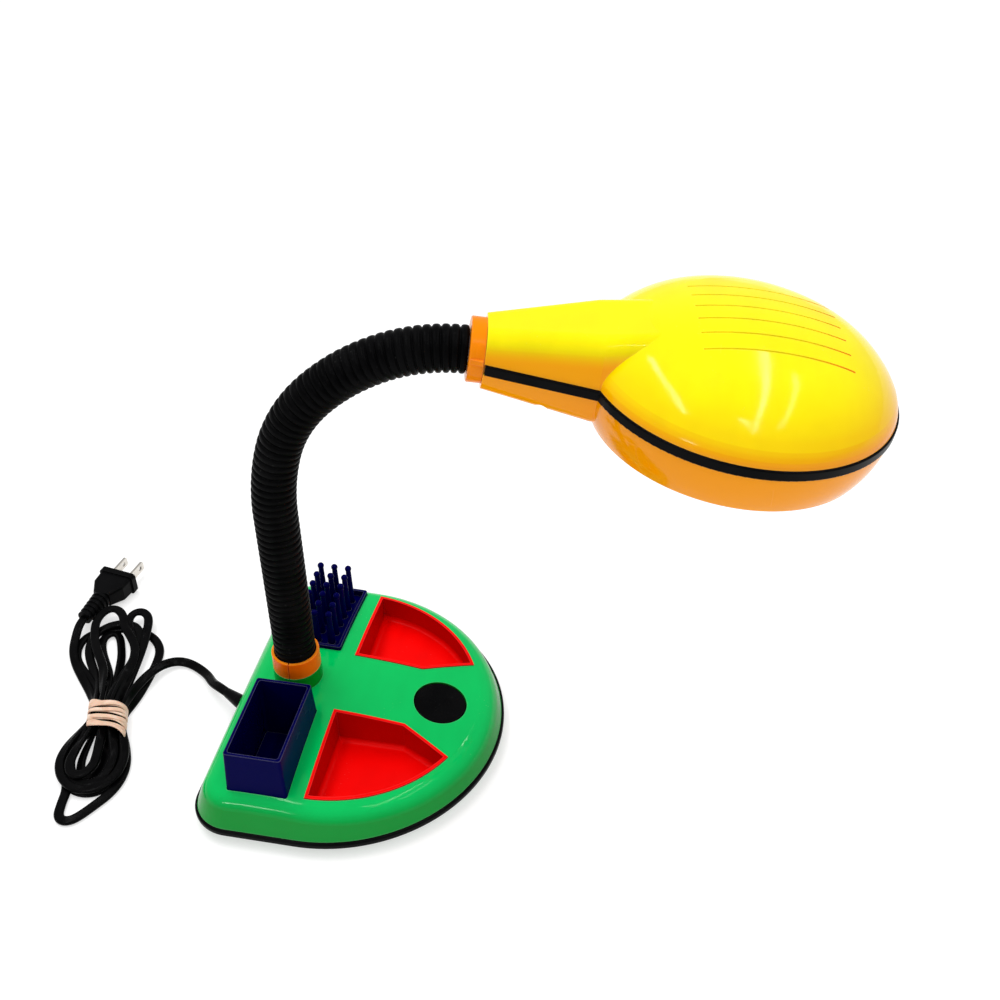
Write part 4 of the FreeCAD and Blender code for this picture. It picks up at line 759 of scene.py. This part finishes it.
# Long narrow windows over the lamp, as name, start, stop, width and watts
strips = [
    ("strip_left", (-0.30, -0.66, 1.45), (-0.58, 0.58, 1.45), 0.10, 4.8),
    ("strip_right", (0.71, -0.86, 1.45), (0.61, 1.10, 1.45), 0.055, 5.0),
    ("strip_far_right", (1.10, -0.60, 1.45), (0.88, 0.94, 1.45), 0.065, 2.2),
    ("strip_front_left", (-0.94, -1.98, 0.90), (-0.60, -2.18, 0.90), 0.42, 8.0),
    ("strip_front_right", (0.46, -0.57, 1.45), (0.62, -0.67, 1.45), 0.05, 0.5),
]


def make_floor():
    made = bmesh.new()
    bmesh.ops.create_grid(made, x_segments=2, y_segments=2, size=floor_half)
    mesh = bpy.data.meshes.new("floor")
    made.to_mesh(mesh)
    made.free()
    floor = add_piece("floor", mesh)
    floor.location.z = -floor_drop
    finish = Finish("white_sheet", {"Roughness": 0.9, "Specular IOR Level": 0.1})
    fibre = finish.noise(240.0, 3.0)
    finish.give(Base_Color=finish.blend(fibre, (0.93, 0.93, 0.93), (0.95, 0.95, 0.95)))
    seen = finish.node("ShaderNodeLightPath", {}, {}, "Is Camera Ray")
    mirrored = finish.node("ShaderNodeLightPath", {}, {}, "Is Glossy Ray")
    glow = finish.node("ShaderNodeEmission", {}, {"Color": (1.0, 1.0, 1.0), "Strength": floor_glow})
    share = seen * floor_glow_seen + mirrored * floor_glow_mirrored
    sheet = Shade(finish, finish.surface.outputs[0])
    mixed = finish.node("ShaderNodeMixShader", {}, {0: share, 1: sheet, 2: glow})
    finish.feed(finish.tree.nodes["Material Output"].inputs["Surface"], mixed)
    dress(floor, finish.material)


def light_world():
    world = bpy.data.worlds.new("room")
    bpy.context.scene.world = world
    world.use_nodes = True
    tree = world.node_tree
    room = tree.nodes["Background"]
    room.inputs["Color"].default_value = (1.0, 1.0, 1.0, 1.0)
    path = tree.nodes.new("ShaderNodeLightPath")
    strength = tree.nodes.new("ShaderNodeMapRange")
    strength.inputs["To Min"].default_value = room_glow
    strength.inputs["To Max"].default_value = room_glow_seen
    tree.links.new(path.outputs["Is Camera Ray"], strength.inputs["Value"])
    tree.links.new(strength.outputs[0], room.inputs["Strength"])


def hang_strip(name, start, stop, wide, watts):
    """Level window from start to stop that shines down."""
    start, stop = Vector(start), Vector(stop)
    light = bpy.data.lights.new(name, "AREA")
    light.shape = "RECTANGLE"
    light.size = wide
    light.size_y = (stop - start).length
    light.energy = watts
    lamp = bpy.data.objects.new(name, light)
    lamp.location = (start + stop) / 2
    lamp.rotation_euler = (0, 0, math.atan2(stop.y - start.y, stop.x - start.x) - math.pi / 2)
    bpy.context.collection.objects.link(lamp)


def hang_sky_light():
    light = bpy.data.lights.new("sky_light", "SUN")
    light.energy = sky_watts
    light.angle = math.radians(sky_spread)
    lamp = bpy.data.objects.new("sky_light", light)
    lamp.rotation_euler = Vector(sky_way).to_track_quat("Z", "Y").to_euler()
    lamp.visible_glossy = False
    bpy.context.collection.objects.link(lamp)


make_floor()
light_world()
hang_sky_light()
for strip in strips:
    hang_strip(*strip)

scene = bpy.context.scene
scene.view_settings.view_transform = "Standard"
